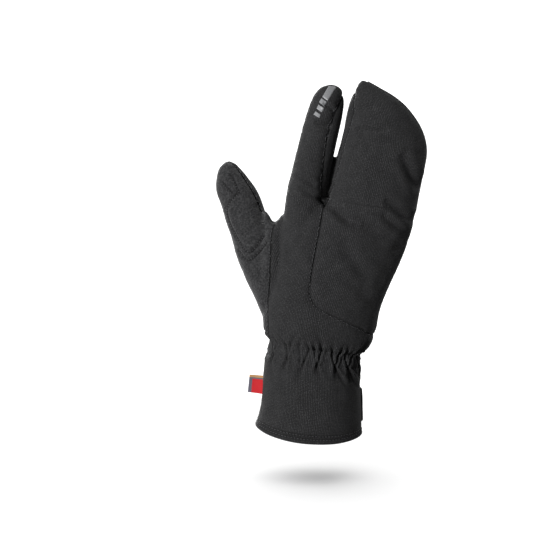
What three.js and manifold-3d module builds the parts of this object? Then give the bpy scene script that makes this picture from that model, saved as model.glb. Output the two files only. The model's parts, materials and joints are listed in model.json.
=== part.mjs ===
// A winter cycling glove of the lobster claw kind, for the right hand: a thumb, an index finger and one pouch for
// the other three fingers. It is held up in the filled form that it has when worn, with its mouth open below.
// Millimetres, +Z up along the cuff. The origin is the middle of the wrist elastic. -Y is the back of the hand,
// +Y the palm, -X the thumb's side.
// Across the hand, u runs towards the little finger and v along the hand, which leans towards +X.

import * as THREE from "three";
import Module from "manifold-3d";
import { mergeVertices } from "three/addons/utils/BufferGeometryUtils.js";

const wasm = await Module();
wasm.setup();

// Sizes of the hand
const palmLength = 121; // wrist elastic to the crotch between index finger and pouch
const handWidth = 104; // across the knuckles
const handDepth = 46; // back of the hand to palm, at the knuckles
const handLean = 8.5; // degrees that the hand leans from the cuff's line
const curlDepth = 17; // how far the fingertips curl towards the palm

// Sizes of the fingers, from the crotch up
const indexLength = 89;
const indexWidth = 31.4;
const indexDepth = 34;
const pouchLength = 96.5;
const pouchWidth = 72;
const pouchDepth = 41;

// Sizes of the thumb, from its root inside the palm to its tip
const thumbLength = 137;
const thumbWidth = 34;
const thumbDepth = 32;
const thumbSplay = 20; // degrees out from the cuff's line
const thumbForward = 8.5; // degrees towards the palm
const thumbSeamTurn = 30; // degrees that the thumb's side seam is turned towards its nail

// Sizes of the wrist and cuff
const wristWidth = 73;
const wristDepth = 48;
const cuffLength = 65; // wrist elastic to the hem, at the cuff's sides
const cuffWidth = 81;
const cuffDepth = 57;
const hemDip = 6; // how much lower the hem hangs at the front and back than at the sides
const hemHeight = 6.4;
const hemProud = 0.7; // how far the binding stands out of the cuff's wall, on each side

// Sizes of the cloth and its seams
const wall = 3; // shell cloth, filling and fleece together
const seamGap = 0.4;
const pleatCount = 30;
const pleatDepth = 2.2;
const pleatReachUp = 10; // how far the pleats run above the elastic
const pleatReachDown = 17;
const foldDepth = 2.2;
const foldSpread = 5;

// Sizes of the slit in the cuff and the stretch panel behind it
const slitWidth = 9; // at the hem
const slitTopWidth = 2.4;
const slitHeight = 40;
const slitToPalm = 14; // the slit lies this far round from the cuff's side, towards the palm
const ventWall = 1.2;
const ventLap = 5; // how far the stretch panel reaches past the slit's edge

// Sizes of the strap and what it closes on
const strapHeight = 28;
const strapAboveHem = 9;
const strapThickness = 2;
const strapRoot = 5; // the strap starts this far round from the cuff's side, before the slit
const strapReach = 27; // from the wrist's middle to the strap's round end, on the thumb's side
const strapRound = 13; // radius of the round end's corners
const patchThickness = 1;
const patchBeyondStrap = 11;
const patchMargin = 1.5; // how far the patch shows above and below the strap

// Sizes of the trims
const padThickness = 1.6;
const pipingDiameter = 2.6;
const pipingInset = 1; // how far the piping's middle lies inside the pouch's outer edge
const labelReach = 11;
const labelHeight = 15;
const labelThickness = 1.2;
const labelCaught = 2; // how much of its length is in the seam
const labelAboveHem = 29; // from the cuff's hem up to the label's middle

// Counts of faces round and along the lofts
const fingerSides = 20;
const pouchSides = 30;
const gatherSides = 2 * pleatCount; // the loft has this many sides near the elastic, and half of them elsewhere
const bodyLiningSides = 24;
const liningSides = 12;
const webSides = 10;
const pipingSides = 7;

const degree = Math.PI / 180;
const farOut = 2 * (palmLength + pouchLength); // a length past every edge of the glove
const lean = handLean * degree;
const acrossHand = new THREE.Vector3(Math.cos(lean), 0, -Math.sin(lean));
const alongHand = new THREE.Vector3(Math.sin(lean), 0, Math.cos(lean));
const towardsPalm = new THREE.Vector3(0, 1, 0);
const towardsBack = new THREE.Vector3(0, -1, 0);
const cuffLean = 0.65 * lean; // the cuff's rings lean less than the hand does
const acrossCuff = new THREE.Vector3(Math.cos(cuffLean), 0, -Math.sin(cuffLean));
const alongCuff = new THREE.Vector3(0, 0, 1);

// Sections from the hem up to the wrist.
// down: share of cuffLength below the elastic. shift: share of cuffWidth towards the little finger.
// width, depth: shares of cuffWidth and cuffDepth.
const cuffSections = [
  { down: 1.0, shift: -0.031, width: 1.064, depth: 1.05 },
  { down: 0.82, shift: -0.012, width: 1.03, depth: 1.03 },
  { down: 0.63, shift: 0.0, width: 1.0, depth: 1.0 },
  { down: 0.42, shift: 0.0, width: 0.985, depth: 0.98 },
  { down: 0.26, shift: 0.0, width: 0.96, depth: 0.94 },
  { down: 0.12, shift: 0.015, width: 0.93, depth: 0.89 },
];

// Sections of the wrist and palm.
// up: share of palmLength above the elastic. middle, half: shares of handWidth. front, back: shares of handDepth.
const palmSections = [
  { up: 0.05, middle: 0.025, half: 0.4, front: 0.55, back: 0.56 },
  { up: 0.11, middle: 0.03, half: 0.432, front: 0.587, back: 0.61 },
  { up: 0.2, middle: 0.03, half: 0.444, front: 0.6, back: 0.64 },
  { up: 0.33, middle: 0.038, half: 0.442, front: 0.565, back: 0.64 },
  { up: 0.53, middle: 0.077, half: 0.461, front: 0.52, back: 0.59 },
  { up: 0.65, middle: 0.096, half: 0.481, front: 0.5, back: 0.555 },
  { up: 0.8, middle: 0.117, half: 0.493, front: 0.475, back: 0.515 },
  { up: 0.91, middle: 0.125, half: 0.48, front: 0.4, back: 0.43 },
  { up: 0.98, middle: 0.125, half: 0.44, front: 0.26, back: 0.28 },
  { up: 1.0, middle: 0.125, half: 0.38, front: 0.12, back: 0.13 },
];

// Sections of the index finger.
// up: share of indexLength above the crotch. middle: share of handWidth. half: share of indexWidth.
// front, back: shares of indexDepth.
const indexSections = [
  { up: -0.6, middle: -0.205, half: 0.38, front: 0.33, back: 0.36 },
  { up: -0.28, middle: -0.219, half: 0.48, front: 0.49, back: 0.51 },
  { up: 0.0, middle: -0.22, half: 0.5, front: 0.51, back: 0.53 },
  { up: 0.2, middle: -0.21, half: 0.5, front: 0.5, back: 0.52 },
  { up: 0.4, middle: -0.196, half: 0.495, front: 0.475, back: 0.49 },
  { up: 0.6, middle: -0.18, half: 0.485, front: 0.45, back: 0.455 },
  { up: 0.75, middle: -0.167, half: 0.465, front: 0.415, back: 0.415 },
  { up: 0.86, middle: -0.156, half: 0.43, front: 0.36, back: 0.36 },
  { up: 0.93, middle: -0.147, half: 0.36, front: 0.295, back: 0.29 },
  { up: 0.975, middle: -0.139, half: 0.25, front: 0.2, back: 0.2 },
  { up: 1.0, middle: -0.135, half: 0.1, front: 0.08, back: 0.08 },
];

// Sections of the pouch.
// up: share of pouchLength above the crotch. middle: share of handWidth. half: share of pouchWidth.
// front, back: shares of pouchDepth.
const pouchSections = [
  { up: -0.6, middle: 0.26, half: 0.34, front: 0.36, back: 0.4 },
  { up: -0.26, middle: 0.282, half: 0.465, front: 0.5, back: 0.535 },
  { up: 0.0, middle: 0.279, half: 0.5, front: 0.512, back: 0.524 },
  { up: 0.15, middle: 0.29, half: 0.501, front: 0.5, back: 0.512 },
  { up: 0.28, middle: 0.298, half: 0.499, front: 0.488, back: 0.488 },
  { up: 0.4, middle: 0.309, half: 0.494, front: 0.465, back: 0.463 },
  { up: 0.49, middle: 0.313, half: 0.487, front: 0.45, back: 0.44 },
  { up: 0.57, middle: 0.308, half: 0.469, front: 0.428, back: 0.415 },
  { up: 0.67, middle: 0.286, half: 0.432, front: 0.39, back: 0.38 },
  { up: 0.77, middle: 0.248, half: 0.368, front: 0.34, back: 0.33 },
  { up: 0.855, middle: 0.21, half: 0.292, front: 0.28, back: 0.27 },
  { up: 0.91, middle: 0.166, half: 0.21, front: 0.22, back: 0.207 },
  { up: 0.953, middle: 0.123, half: 0.124, front: 0.151, back: 0.146 },
  { up: 0.985, middle: 0.095, half: 0.06, front: 0.08, back: 0.08 },
  { up: 1.0, middle: 0.09, half: 0.02, front: 0.03, back: 0.03 },
];

// Sections of the thumb.
// up: share of thumbLength from its root. bend: share of thumbWidth towards the index finger.
// half: share of thumbWidth. depth: share of thumbDepth.
const thumbSections = [
  { up: 0.0, bend: 0.12, half: 0.47, depth: 0.5 },
  { up: 0.15, bend: 0.1, half: 0.5, depth: 0.56 },
  { up: 0.3, bend: 0.055, half: 0.5, depth: 0.57 },
  { up: 0.45, bend: 0.04, half: 0.49, depth: 0.54 },
  { up: 0.6, bend: 0.06, half: 0.48, depth: 0.5 },
  { up: 0.74, bend: 0.06, half: 0.472, depth: 0.46 },
  { up: 0.85, bend: 0.015, half: 0.408, depth: 0.39 },
  { up: 0.92, bend: 0.02, half: 0.31, depth: 0.3 },
  { up: 0.97, bend: 0.045, half: 0.19, depth: 0.185 },
  { up: 0.995, bend: 0.06, half: 0.07, depth: 0.07 },
];

// Sections of the web between thumb and hand.
// up: share of palmLength above the elastic. middle, half: shares of handWidth. front, back: shares of handDepth.
const webSections = [
  { up: 0.4, middle: -0.38, half: 0.09, front: 0.19, back: 0.42 },
  { up: 0.64, middle: -0.408, half: 0.083, front: 0.15, back: 0.41 },
  { up: 0.75, middle: -0.422, half: 0.06, front: 0.07, back: 0.32 },
  { up: 0.79, middle: -0.426, half: 0.03, front: 0.03, back: 0.2 },
];

// Sections of the web that closes the foot of the gap between index finger and pouch on the palm's side, measured
// as the one above.
const fingerWebSections = [
  { up: 0.95, middle: -0.053, half: 0.04, front: -0.03, back: 0.3 },
  { up: 1.08, middle: -0.052, half: 0.038, front: -0.03, back: 0.29 },
  { up: 1.2, middle: -0.05, half: 0.03, front: -0.06, back: 0.25 },
];

// Creases of the filled shell. u: shares of handWidth. v: shares of palmLength.
// depth, spread: shares of foldDepth and foldSpread.
const folds = [
  { face: "back", u1: -0.27, v1: 1.03, u2: -0.1, v2: 0.99, depth: 0.7, spread: 0.6 },
  { face: "back", u1: -0.05, v1: 0.98, u2: 0.23, v2: 0.87, depth: 0.6, spread: 1.4 },
  { face: "back", u1: 0.23, v1: 0.87, u2: 0.54, v2: 0.84, depth: 0.6, spread: 1.3 },
  { face: "back", u1: 0.52, v1: 1.09, u2: 0.62, v2: 0.98, depth: 0.8, spread: 1.0 },
  { face: "back", u1: 0.06, v1: 1.45, u2: 0.28, v2: 1.52, depth: 0.5, spread: 1.2 },
  { face: "back", u1: -0.22, v1: 1.476, u2: -0.12, v2: 1.47, depth: 0.6, spread: 0.6 },
  { face: "palm", u1: -0.36, v1: 0.64, u2: -0.31, v2: 0.4, depth: 0.9, spread: 1.3 },
  { face: "palm", u1: 0.1, v1: 0.98, u2: 0.55, v2: 1.03, depth: 0.5, spread: 1.4 },
];

// The curve through a table's rows: every column is interpolated smoothly, and each row stays a section.
function throughRows(rows, ringsBetween) {
  const made = [];
  for (let i = 0; i + 1 < rows.length; i++) {
    const before = rows[Math.max(i - 1, 0)];
    const after = rows[Math.min(i + 2, rows.length - 1)];
    for (let k = 0; k < ringsBetween; k++) {
      const t = k / ringsBetween;
      const row = {};
      for (const column of Object.keys(rows[i])) {
        const [a, b] = [rows[i][column], rows[i + 1][column]];
        const slopeIn = (b - before[column]) / 2;
        const slopeOut = (after[column] - a) / 2;
        row[column] =
          a * (1 + t * t * (2 * t - 3)) +
          b * (t * t * (3 - 2 * t)) +
          slopeIn * (t * (1 - t) * (1 - t)) -
          slopeOut * (t * t * (1 - t));
      }
      made.push(row);
    }
  }
  made.push(rows[rows.length - 1]);
  return made;
}

// Rows in millimetres: v up, u middle, half width, depth to the front and back, and how boxy the section is.
function rowAt(rows, v) {
  const after = Math.max(1, rows.findIndex((row) => row.v >= v));
  const [a, b] = [rows[after - 1], rows[after]];
  const t = (v - a.v) / (b.v - a.v);
  return Object.fromEntries(Object.keys(a).map((column) => [column, a[column] + t * (b[column] - a[column])]));
}

const wristRow = { v: 0, u: 0.02 * handWidth, half: wristWidth / 2, front: wristDepth / 2, back: wristDepth / 2 };
const bodyRows = [
  ...cuffSections.map((s) => ({
    v: -s.down * cuffLength,
    u: s.shift * cuffWidth,
    half: (s.width * cuffWidth) / 2,
    front: (s.depth * cuffDepth) / 2,
    back: (s.depth * cuffDepth) / 2,
  })),
  wristRow,
  ...palmSections.map((s) => ({
    v: s.up * palmLength,
    u: s.middle * handWidth,
    half: s.half * handWidth,
    front: s.front * handDepth,
    back: s.back * handDepth,
  })),
];

function fingerRows(sections, length, width, depth) {
  return sections.map((s) => ({
    v: palmLength + s.up * length,
    u: s.middle * handWidth,
    half: s.half * width,
    front: s.front * depth,
    back: s.back * depth,
  }));
}

const indexRows = fingerRows(indexSections, indexLength, indexWidth, indexDepth);
const pouchRows = fingerRows(pouchSections, pouchLength, pouchWidth, pouchDepth);
const webRows = [webSections, fingerWebSections].map((sections) =>
  sections.map((s) => ({
    v: s.up * palmLength,
    u: s.middle * handWidth,
    half: s.half * handWidth,
    front: s.front * handDepth,
    back: s.back * handDepth,
  })),
);
const thumbRows = thumbSections.map((s) => ({
  v: s.up * thumbLength,
  u: s.bend * thumbWidth,
  half: s.half * thumbWidth,
  front: s.depth * thumbDepth,
  back: s.depth * thumbDepth,
}));

// The hand's middle plane curls towards the palm from the knuckles to the fingertips.
function curl(v) {
  const straightTo = 0.9 * palmLength;
  const share = Math.max(0, v - straightTo) / (palmLength + pouchLength - straightTo);
  return curlDepth * share ** 1.6;
}

// A point of the hand in the part's frame. Below the elastic the lean fades into the cuff's own line.
function placeOnHand(u, y, v) {
  const below = Math.min(v, 0);
  const tilt = lean * (1 + (0.45 * below) / cuffLength);
  const above = Math.max(v, 0);
  return new THREE.Vector3(
    u * Math.cos(tilt) + above * Math.sin(lean),
    y,
    below + above * Math.cos(lean) - u * Math.sin(tilt),
  );
}

// The thumb's own frame: its root is inside the heel of the palm.
const thumbRoot = new THREE.Vector3(-0.24 * handWidth, 0.07 * handDepth, 0.17 * palmLength);
const alongThumb = new THREE.Vector3(
  -Math.sin(thumbSplay * degree),
  Math.tan(thumbForward * degree),
  Math.cos(thumbSplay * degree),
).normalize();
const acrossThumb = new THREE.Vector3().crossVectors(towardsPalm, alongThumb).normalize();
const thumbToPalm = new THREE.Vector3().crossVectors(alongThumb, acrossThumb);

function placeOnThumb(u, y, v) {
  return thumbRoot
    .clone()
    .addScaledVector(acrossThumb, u)
    .addScaledVector(thumbToPalm, y)
    .addScaledVector(alongThumb, v);
}

// How deep the creases are at a point of the hand, on one face.
function creaseAt(face, u, v) {
  let depth = 0;
  for (const f of folds) {
    if (f.face !== face) continue;
    const [u1, v1] = [f.u1 * handWidth, f.v1 * palmLength];
    const [du, dv] = [f.u2 * handWidth - u1, f.v2 * palmLength - v1];
    const t = THREE.MathUtils.clamp(((u - u1) * du + (v - v1) * dv) / (du * du + dv * dv), 0, 1);
    const distance = Math.hypot(u - u1 - t * du, v - v1 - t * dv);
    depth += f.depth * foldDepth * Math.exp(-((distance / (f.spread * foldSpread)) ** 2));
  }
  return depth;
}

// How far the elastic draws in a point of the gather: every second side of the loft is a valley, and they differ.
function pleatAt(angle, v) {
  const side = Math.round((angle / (2 * Math.PI)) * gatherSides);
  const reach = v > 0 ? pleatReachUp : pleatReachDown * (0.8 + 0.35 * Math.sin(side * 1.7));
  const fade = Math.exp(-((v / reach) ** 2));
  const valley = side % 2 === 0 ? 0.3 : -1;
  return pleatDepth * valley * fade * (0.8 + 0.2 * Math.sin(side * 2.4));
}

function power(x, exponent) {
  return Math.sign(x) * Math.abs(x) ** exponent;
}

// Shapes a section's points: an ellipse a little boxy, with the hem's dip, the curl and the creases.
const boxy = 2.25;
function handPoint(row, angle, grow, pleated) {
  const pleat = pleated ? pleatAt(angle, row.v) : 0;
  const across = (row.half + grow + pleat) * power(Math.cos(angle), 2 / boxy);
  const deep = Math.sin(angle) < 0 ? row.front : row.back;
  const depth = (deep + grow + pleat) * power(Math.sin(angle), 2 / boxy);
  const face = Math.sin(angle) < 0 ? "back" : "palm";
  const crease = creaseAt(face, row.u + across, row.v) * Math.abs(Math.sin(angle));
  const dip = hemDip * Math.sin(angle) ** 2 * (Math.min(row.v, 0) / cuffLength) ** 2;
  return placeOnHand(
    row.u + across,
    curl(row.v) + depth - Math.sign(depth) * crease,
    row.v - dip,
  );
}

function thumbPoint(row, angle, grow) {
  const across = (row.half + grow) * power(Math.cos(angle), 2 / boxy);
  const depth = (row.front + grow) * power(Math.sin(angle), 2 / boxy);
  return placeOnThumb(row.u + across, depth, row.v);
}

// A closed mesh as a solid that can be joined and cut.
function solidOf(geometry) {
  const bare = geometry.clone();
  bare.deleteAttribute("normal");
  bare.deleteAttribute("uv");
  const merged = mergeVertices(bare, 1e-4);
  return new wasm.Manifold(
    new wasm.Mesh({
      numProp: 3,
      vertProperties: new Float32Array(merged.attributes.position.array),
      triVerts: new Uint32Array(merged.index.array),
    }),
  );
}

// A closed skin through rings of points, with a fan at each end. Rings of half as many sides may follow or precede.
function loft(rows, sidesOf, pointOf, grow = 0, pleated = false) {
  const growAt = typeof grow === "function" ? grow : () => grow;
  const points = [];
  const rings = rows.map((row) => {
    const sides = typeof sidesOf === "function" ? sidesOf(row) : sidesOf;
    const ring = { first: points.length, sides };
    for (let j = 0; j < sides; j++) {
      const angle = (2 * Math.PI * j) / sides;
      points.push(pointOf(row, angle, growAt(angle), pleated));
    }
    return ring;
  });
  const at = (ring, j) => ring.first + (j % ring.sides);
  const faces = [];
  for (let r = 0; r + 1 < rings.length; r++) {
    const [low, high] = [rings[r], rings[r + 1]];
    for (let j = 0; j < Math.min(low.sides, high.sides); j++) {
      if (low.sides === high.sides) {
        faces.push(at(low, j), at(low, j + 1), at(high, j + 1), at(low, j), at(high, j + 1), at(high, j));
      } else if (low.sides > high.sides) {
        const [a, b, c] = [at(low, 2 * j), at(low, 2 * j + 1), at(low, 2 * j + 2)];
        faces.push(a, b, at(high, j), b, at(high, j + 1), at(high, j), b, c, at(high, j + 1));
      } else {
        const [a, b, c] = [at(high, 2 * j), at(high, 2 * j + 1), at(high, 2 * j + 2)];
        faces.push(at(low, j), b, a, at(low, j), at(low, j + 1), b, at(low, j + 1), c, b);
      }
    }
  }
  for (const ring of [rings[0], rings[rings.length - 1]]) {
    const centre = new THREE.Vector3();
    for (let j = 0; j < ring.sides; j++) centre.addScaledVector(points[ring.first + j], 1 / ring.sides);
    points.push(centre);
    for (let j = 0; j < ring.sides; j++) {
      if (ring.first === 0) faces.push(points.length - 1, at(ring, j + 1), at(ring, j));
      else faces.push(points.length - 1, at(ring, j), at(ring, j + 1));
    }
  }
  const geometry = new THREE.BufferGeometry().setFromPoints(points);
  geometry.setIndex(faces);
  return solidOf(geometry);
}

// Rows of the hollow inside a closed finger: thinner by the wall, and shorter by it at the tip.
function hollowRows(rows) {
  const [root, tip] = [rows[0].v, rows[rows.length - 1].v];
  const shrink = 1 - wall / (tip - root);
  return rows
    .filter((row) => Math.min(row.half, row.front) > 1.8 * wall)
    .map((row) => ({
      ...row,
      v: root + (row.v - root) * shrink,
      half: row.half - wall,
      front: row.front - wall,
      back: row.back - wall,
    }));
}

// Straight prisms that part the shell into its cut pieces. The outline lies along the first two directions.
function prism(outline, directions, from, to) {
  const shape = new THREE.Shape(outline.map(([a, b]) => new THREE.Vector2(a, b)));
  const geometry = new THREE.ExtrudeGeometry(shape, { depth: to - from, bevelEnabled: false });
  geometry.translate(0, 0, from);
  geometry.applyMatrix4(new THREE.Matrix4().makeBasis(...directions));
  return solidOf(geometry);
}

// A prism with a (u, v) outline, through the hand or the cuff from y = low to y = high.
function throughHand(outline, low = -farOut, high = farOut) {
  return prism(outline, [acrossHand, alongHand, towardsBack], -high, -low);
}

function throughCuff(outline, low, high = farOut) {
  return prism(outline, [acrossCuff, alongCuff, towardsBack], -high, -low);
}

// A prism with a (y, v) outline, across the hand from u = left to u = right, or out through the cuff's far side.
function acrossTheHand(outline, left, right) {
  return prism(outline, [towardsPalm, alongHand, acrossHand], left, right);
}

function outThroughCuff(outline) {
  return prism(outline, [towardsPalm, alongCuff, acrossCuff], 0, farOut);
}

const inHand = (shares) => shares.map(([u, v]) => [u * handWidth, v * palmLength]);
const shifted = (outline, du, dv = 0) => outline.map(([u, v]) => [u + du, v + dv]);

// The side seams between the back of the hand and the palm follow the curl. On the little finger's side
// the seam runs round to the palm, where the cuff has its slit.
const seamToPalm = 1.5;
const seamStations = 7;

function beforeSeam(offset) {
  const outline = (foot) => {
    const line = [[foot, -farOut], [foot, -0.35 * cuffLength]];
    line.push([seamToPalm, foot > seamToPalm ? 0.3 * palmLength : 0]);
    for (let k = 0; k <= seamStations; k++) {
      const v = 0.9 * palmLength + (k / seamStations) * (pouchLength + 0.1 * palmLength);
      line.push([curl(v) + seamToPalm, v]);
    }
    line.push([line[line.length - 1][0], farOut]);
    return [[-farOut, -farOut], ...line.map(([y, v]) => [y + offset, v]), [-farOut, farOut]];
  };
  return acrossTheHand(outline(seamToPalm), -farOut, 1).add(acrossTheHand(outline(slitToPalm), 0, farOut));
}

// The whole shell: the lofts joined, less the hollow for the hand.
const gatherFrom = -0.5 * cuffLength;
const gatherTo = 0.13 * palmLength;
const bodySides = (row) => (row.v > gatherFrom && row.v < gatherTo ? gatherSides : gatherSides / 2);
const nearGather = (row) => row.v > 0.4 * gatherFrom && row.v < 0.5 * gatherTo;
const shellRows = throughRows(bodyRows, 2).filter(
  (row) => row.v > -cuffLength + hemHeight + 1 && (nearGather(row) || bodyRows.some((kept) => kept.v === row.v)),
);
const hemTop = { ...rowAt(bodyRows, -cuffLength + hemHeight) };
const outerRows = [hemTop, ...shellRows];
const body = loft(outerRows, bodySides, handPoint, 0, true);
const index = loft(indexRows, fingerSides, handPoint);
const pouch = loft(pouchRows, pouchSides, handPoint);
const thumb = loft(thumbRows, fingerSides, thumbPoint);
const webs = loft(webRows[0], webSides, handPoint).add(loft(webRows[1], webSides - 2, handPoint));
const skin = body.add(index).add(pouch).add(thumb).add(webs);

const mouthRow = { ...bodyRows[0], v: -cuffLength - hemDip };
const liningRows = [mouthRow, ...bodyRows].map((row) => ({
  ...row,
  v: Math.min(row.v, palmLength - wall),
  half: row.half - wall - pleatDepth * Math.exp(-((row.v / pleatReachUp) ** 2)),
  front: row.front - wall - pleatDepth * Math.exp(-((row.v / pleatReachUp) ** 2)),
  back: row.back - wall - pleatDepth * Math.exp(-((row.v / pleatReachUp) ** 2)),
}));
const hollow = loft(liningRows.slice(0, -1), bodyLiningSides, handPoint)
  .add(loft(hollowRows(indexRows), liningSides, handPoint))
  .add(loft(hollowRows(pouchRows), liningSides, handPoint))
  .add(loft(hollowRows(thumbRows), liningSides, thumbPoint));

// The slit on the little finger's side, from the hem up to where the strap covers it.
function slitOutline(extra) {
  const half = slitWidth / 2 + extra;
  const topHalf = slitTopWidth / 2 + extra;
  const top = -cuffLength + slitHeight + extra;
  return [
    [slitToPalm - half * 1.6, -2 * cuffLength],
    [slitToPalm - half * 1.6, -cuffLength - hemDip],
    [slitToPalm - half, -cuffLength + hemHeight],
    [slitToPalm - topHalf, top],
    [slitToPalm + topHalf, top],
    [slitToPalm + half, -cuffLength + hemHeight],
    [slitToPalm + half * 1.6, -cuffLength - hemDip],
    [slitToPalm + half * 1.6, -2 * cuffLength],
  ];
}

const slit = outThroughCuff(slitOutline(0));
const shell = skin.subtract(hollow).subtract(slit);

// The pouch's seam on the back of the hand, from the crotch down to the outer edge, as shares.
const pouchSeam = inHand([
  [-0.07, 1.0],
  [-0.083, 0.95],
  [-0.088, 0.77],
  [-0.1, 0.57],
  [-0.098, 0.42],
  [-0.08, 0.345],
  [-0.025, 0.295],
  [0.056, 0.269],
  [0.237, 0.224],
  [0.356, 0.19],
  [0.45, 0.145],
]);

function pouchZone(offset) {
  const up = (share) => palmLength + share * pouchLength;
  return throughHand([
    ...shifted(pouchSeam, offset, offset),
    [farOut, pouchSeam[pouchSeam.length - 1][1]],
    [farOut, farOut],
    [0 + offset, farOut],
    [-0.01 * handWidth + offset, up(1)],
    [-0.026 * handWidth + offset, up(0.6)],
    [-0.03 * handWidth + offset, up(0.45)],
    [-0.048 * handWidth + offset, up(0.3)],
    [-0.06 * handWidth + offset, up(0.15)],
  ]);
}

// The side wall between index finger and pouch: up the finger's seam, over the gap and down the pouch's seam.
const gussetToPalm = 5; // how far the side wall reaches past the side seam's plane
function gussetZone(extra) {
  const up = (u, share, side) => [u * handWidth + side * extra, palmLength + share * indexLength];
  const outline = [
    [-0.073 * handWidth, 0.945 * palmLength - extra],
    up(-0.111, 0.085, -1),
    up(-0.126, 0.31, -1),
    up(-0.128, 0.57, -1),
    up(-0.118, 0.65, -1),
    up(-0.071, 0.83, -1),
    up(-0.036, 0.955, -1),
    up(-0.02, 1.2, -1),
    up(0.015, 1.2, 1),
    up(0.027, 0.9, 1),
    up(0.035, 0.75, 1),
    up(0.02, 0.62, 1),
    up(0.0, 0.5, 1),
    up(-0.015, 0.33, 1),
    up(-0.033, 0.16, 1),
    up(-0.048, 0.04, 1),
  ];
  return throughHand(outline).intersect(beforeSeam(gussetToPalm + extra));
}

// The brushed cloth of the thumb: all of its back, and its outer side on the palm down to the wrist.
const thumbClothFoot = 0.06 * palmLength;
function thumbZone(extra) {
  const backOutline = [
    [-0.355 * handWidth + extra, thumbClothFoot - extra],
    [-0.377 * handWidth + extra, 0.145 * palmLength],
    [-0.396 * handWidth + extra, 0.265 * palmLength],
    [-0.388 * handWidth + extra, 0.34 * palmLength],
    [-0.413 * handWidth + extra, 0.53 * palmLength],
    [-0.44 * handWidth + extra, 0.725 * palmLength],
    [-0.425 * handWidth + extra, 0.8 * palmLength],
    [-0.425 * handWidth + extra, 2 * palmLength],
    [-farOut, 2 * palmLength],
    [-farOut, thumbClothFoot - extra],
  ];
  const turned = thumbSeamTurn * degree;
  const inPlane = acrossThumb.clone().multiplyScalar(Math.cos(turned)).addScaledVector(thumbToPalm, -Math.sin(turned));
  const outOfPlane = new THREE.Vector3().crossVectors(alongThumb, inPlane);
  const nailSide = new THREE.BoxGeometry(farOut, farOut, 2 * farOut);
  nailSide.translate(0, -farOut / 2 + extra, 0);
  nailSide.applyMatrix4(
    new THREE.Matrix4().makeBasis(inPlane, outOfPlane, alongThumb).setPosition(thumbRoot),
  );
  const tip = placeOnThumb(0, 0, 1.1 * thumbLength);
  const toHand = (p) => [p.dot(acrossHand) + extra, p.dot(alongHand)];
  const palmOutline = [
    [-0.2 * handWidth + extra, thumbClothFoot - extra],
    toHand(thumbRoot),
    toHand(placeOnThumb(0, 0, 0.5 * thumbLength)),
    toHand(tip),
    [-farOut, toHand(tip)[1]],
    [-farOut, thumbClothFoot - extra],
  ];
  return throughHand(backOutline)
    .intersect(solidOf(nailSide))
    .add(throughHand(palmOutline, curl(0) + seamToPalm));
}

// The palm's lower edge, which overlaps the gathered cuff, as shares.
const palmFoot = inHand([
  [-0.5, 0.11],
  [-0.28, 0.11],
  [-0.2, 0.085],
  [-0.09, 0.085],
  [0.02, 0.07],
  [0.14, 0.065],
  [0.24, 0.05],
  [0.36, 0.06],
  [0.5, 0.09],
]);

function abovePalmFoot(offset) {
  const edge = shifted(palmFoot, 0, offset);
  return throughHand([
    [-farOut, edge[0][1]],
    ...edge,
    [farOut, edge[edge.length - 1][1]],
    [farOut, farOut],
    [-farOut, farOut],
  ]);
}

// The folded label is caught in the cuff's seam on the thumb's side.
const labelLevel = -cuffLength + labelAboveHem;
const labelRow = rowAt(bodyRows, labelLevel);
const labelRoot = placeOnHand(labelRow.u - labelRow.half + labelCaught, seamToPalm, labelLevel);
const labelTilt = 6 * degree;
function labelBox(extra) {
  const box = new THREE.BoxGeometry(
    labelReach + labelCaught + 2 * extra,
    labelThickness + 2 * extra,
    labelHeight + 2 * extra,
  );
  box.translate(-(labelReach + labelCaught) / 2, 0, 0);
  box.rotateY(labelTilt);
  box.translate(labelRoot.x, labelRoot.y, labelRoot.z);
  return solidOf(box);
}

const halfGap = seamGap / 2;
const backHalf = shell.intersect(beforeSeam(-halfGap));
const palmHalf = shell.subtract(beforeSeam(halfGap));

// The piping lies in the pouch's outer seam: it follows the edge of each section of the pouch.
const pipingRoute = throughRows(pouchRows, 2)
  .filter((row) => row.v > 0.98 * palmLength)
  .reverse()
  .map((row) => placeOnHand(row.u + row.half - pipingInset, curl(row.v) + seamToPalm, row.v));

function pipingAlong(points, diameter) {
  const path = new THREE.CatmullRomCurve3(points);
  const circle = new THREE.Shape();
  for (let k = 0; k < pipingSides; k++) {
    const angle = (2 * Math.PI * k) / pipingSides;
    const at = [(diameter / 2) * Math.cos(angle), (diameter / 2) * Math.sin(angle)];
    if (k === 0) circle.moveTo(...at);
    else circle.lineTo(...at);
  }
  const steps = points.length - 1;
  return new THREE.ExtrudeGeometry(circle, { steps, extrudePath: path, bevelEnabled: false });
}

const pipingTip = 3; // the rows nearest the tip are closer together than the piping is thick
const reflectiveFrom = Math.round(pipingRoute.length * 0.5);
const darkRoute = pipingRoute.slice(pipingTip, reflectiveFrom);
const paleRoute = pipingRoute.slice(reflectiveFrom - 1);
paleRoute[0] = paleRoute[0].clone().lerp(paleRoute[1], 0.12);
const pipingChannel = solidOf(
  pipingAlong(pipingRoute.slice(pipingTip - 1), pipingDiameter + 2 * seamGap),
);

const backPanel = backHalf
  .subtract(thumbZone(seamGap))
  .subtract(gussetZone(seamGap))
  .subtract(pouchZone(0))
  .subtract(labelBox(halfGap));
const pouchPanel = backHalf
  .intersect(pouchZone(seamGap))
  .subtract(gussetZone(seamGap))
  .subtract(pipingChannel);
const fingerGusset = shell.intersect(gussetZone(0));
const thumbPanel = shell.intersect(thumbZone(0));
const palmPanel = palmHalf
  .intersect(abovePalmFoot(seamGap))
  .subtract(thumbZone(seamGap))
  .subtract(gussetZone(seamGap))
  .subtract(pipingChannel);
const cuffPalmPanel = palmHalf
  .subtract(abovePalmFoot(0))
  .subtract(thumbZone(seamGap))
  .subtract(labelBox(halfGap));

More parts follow.
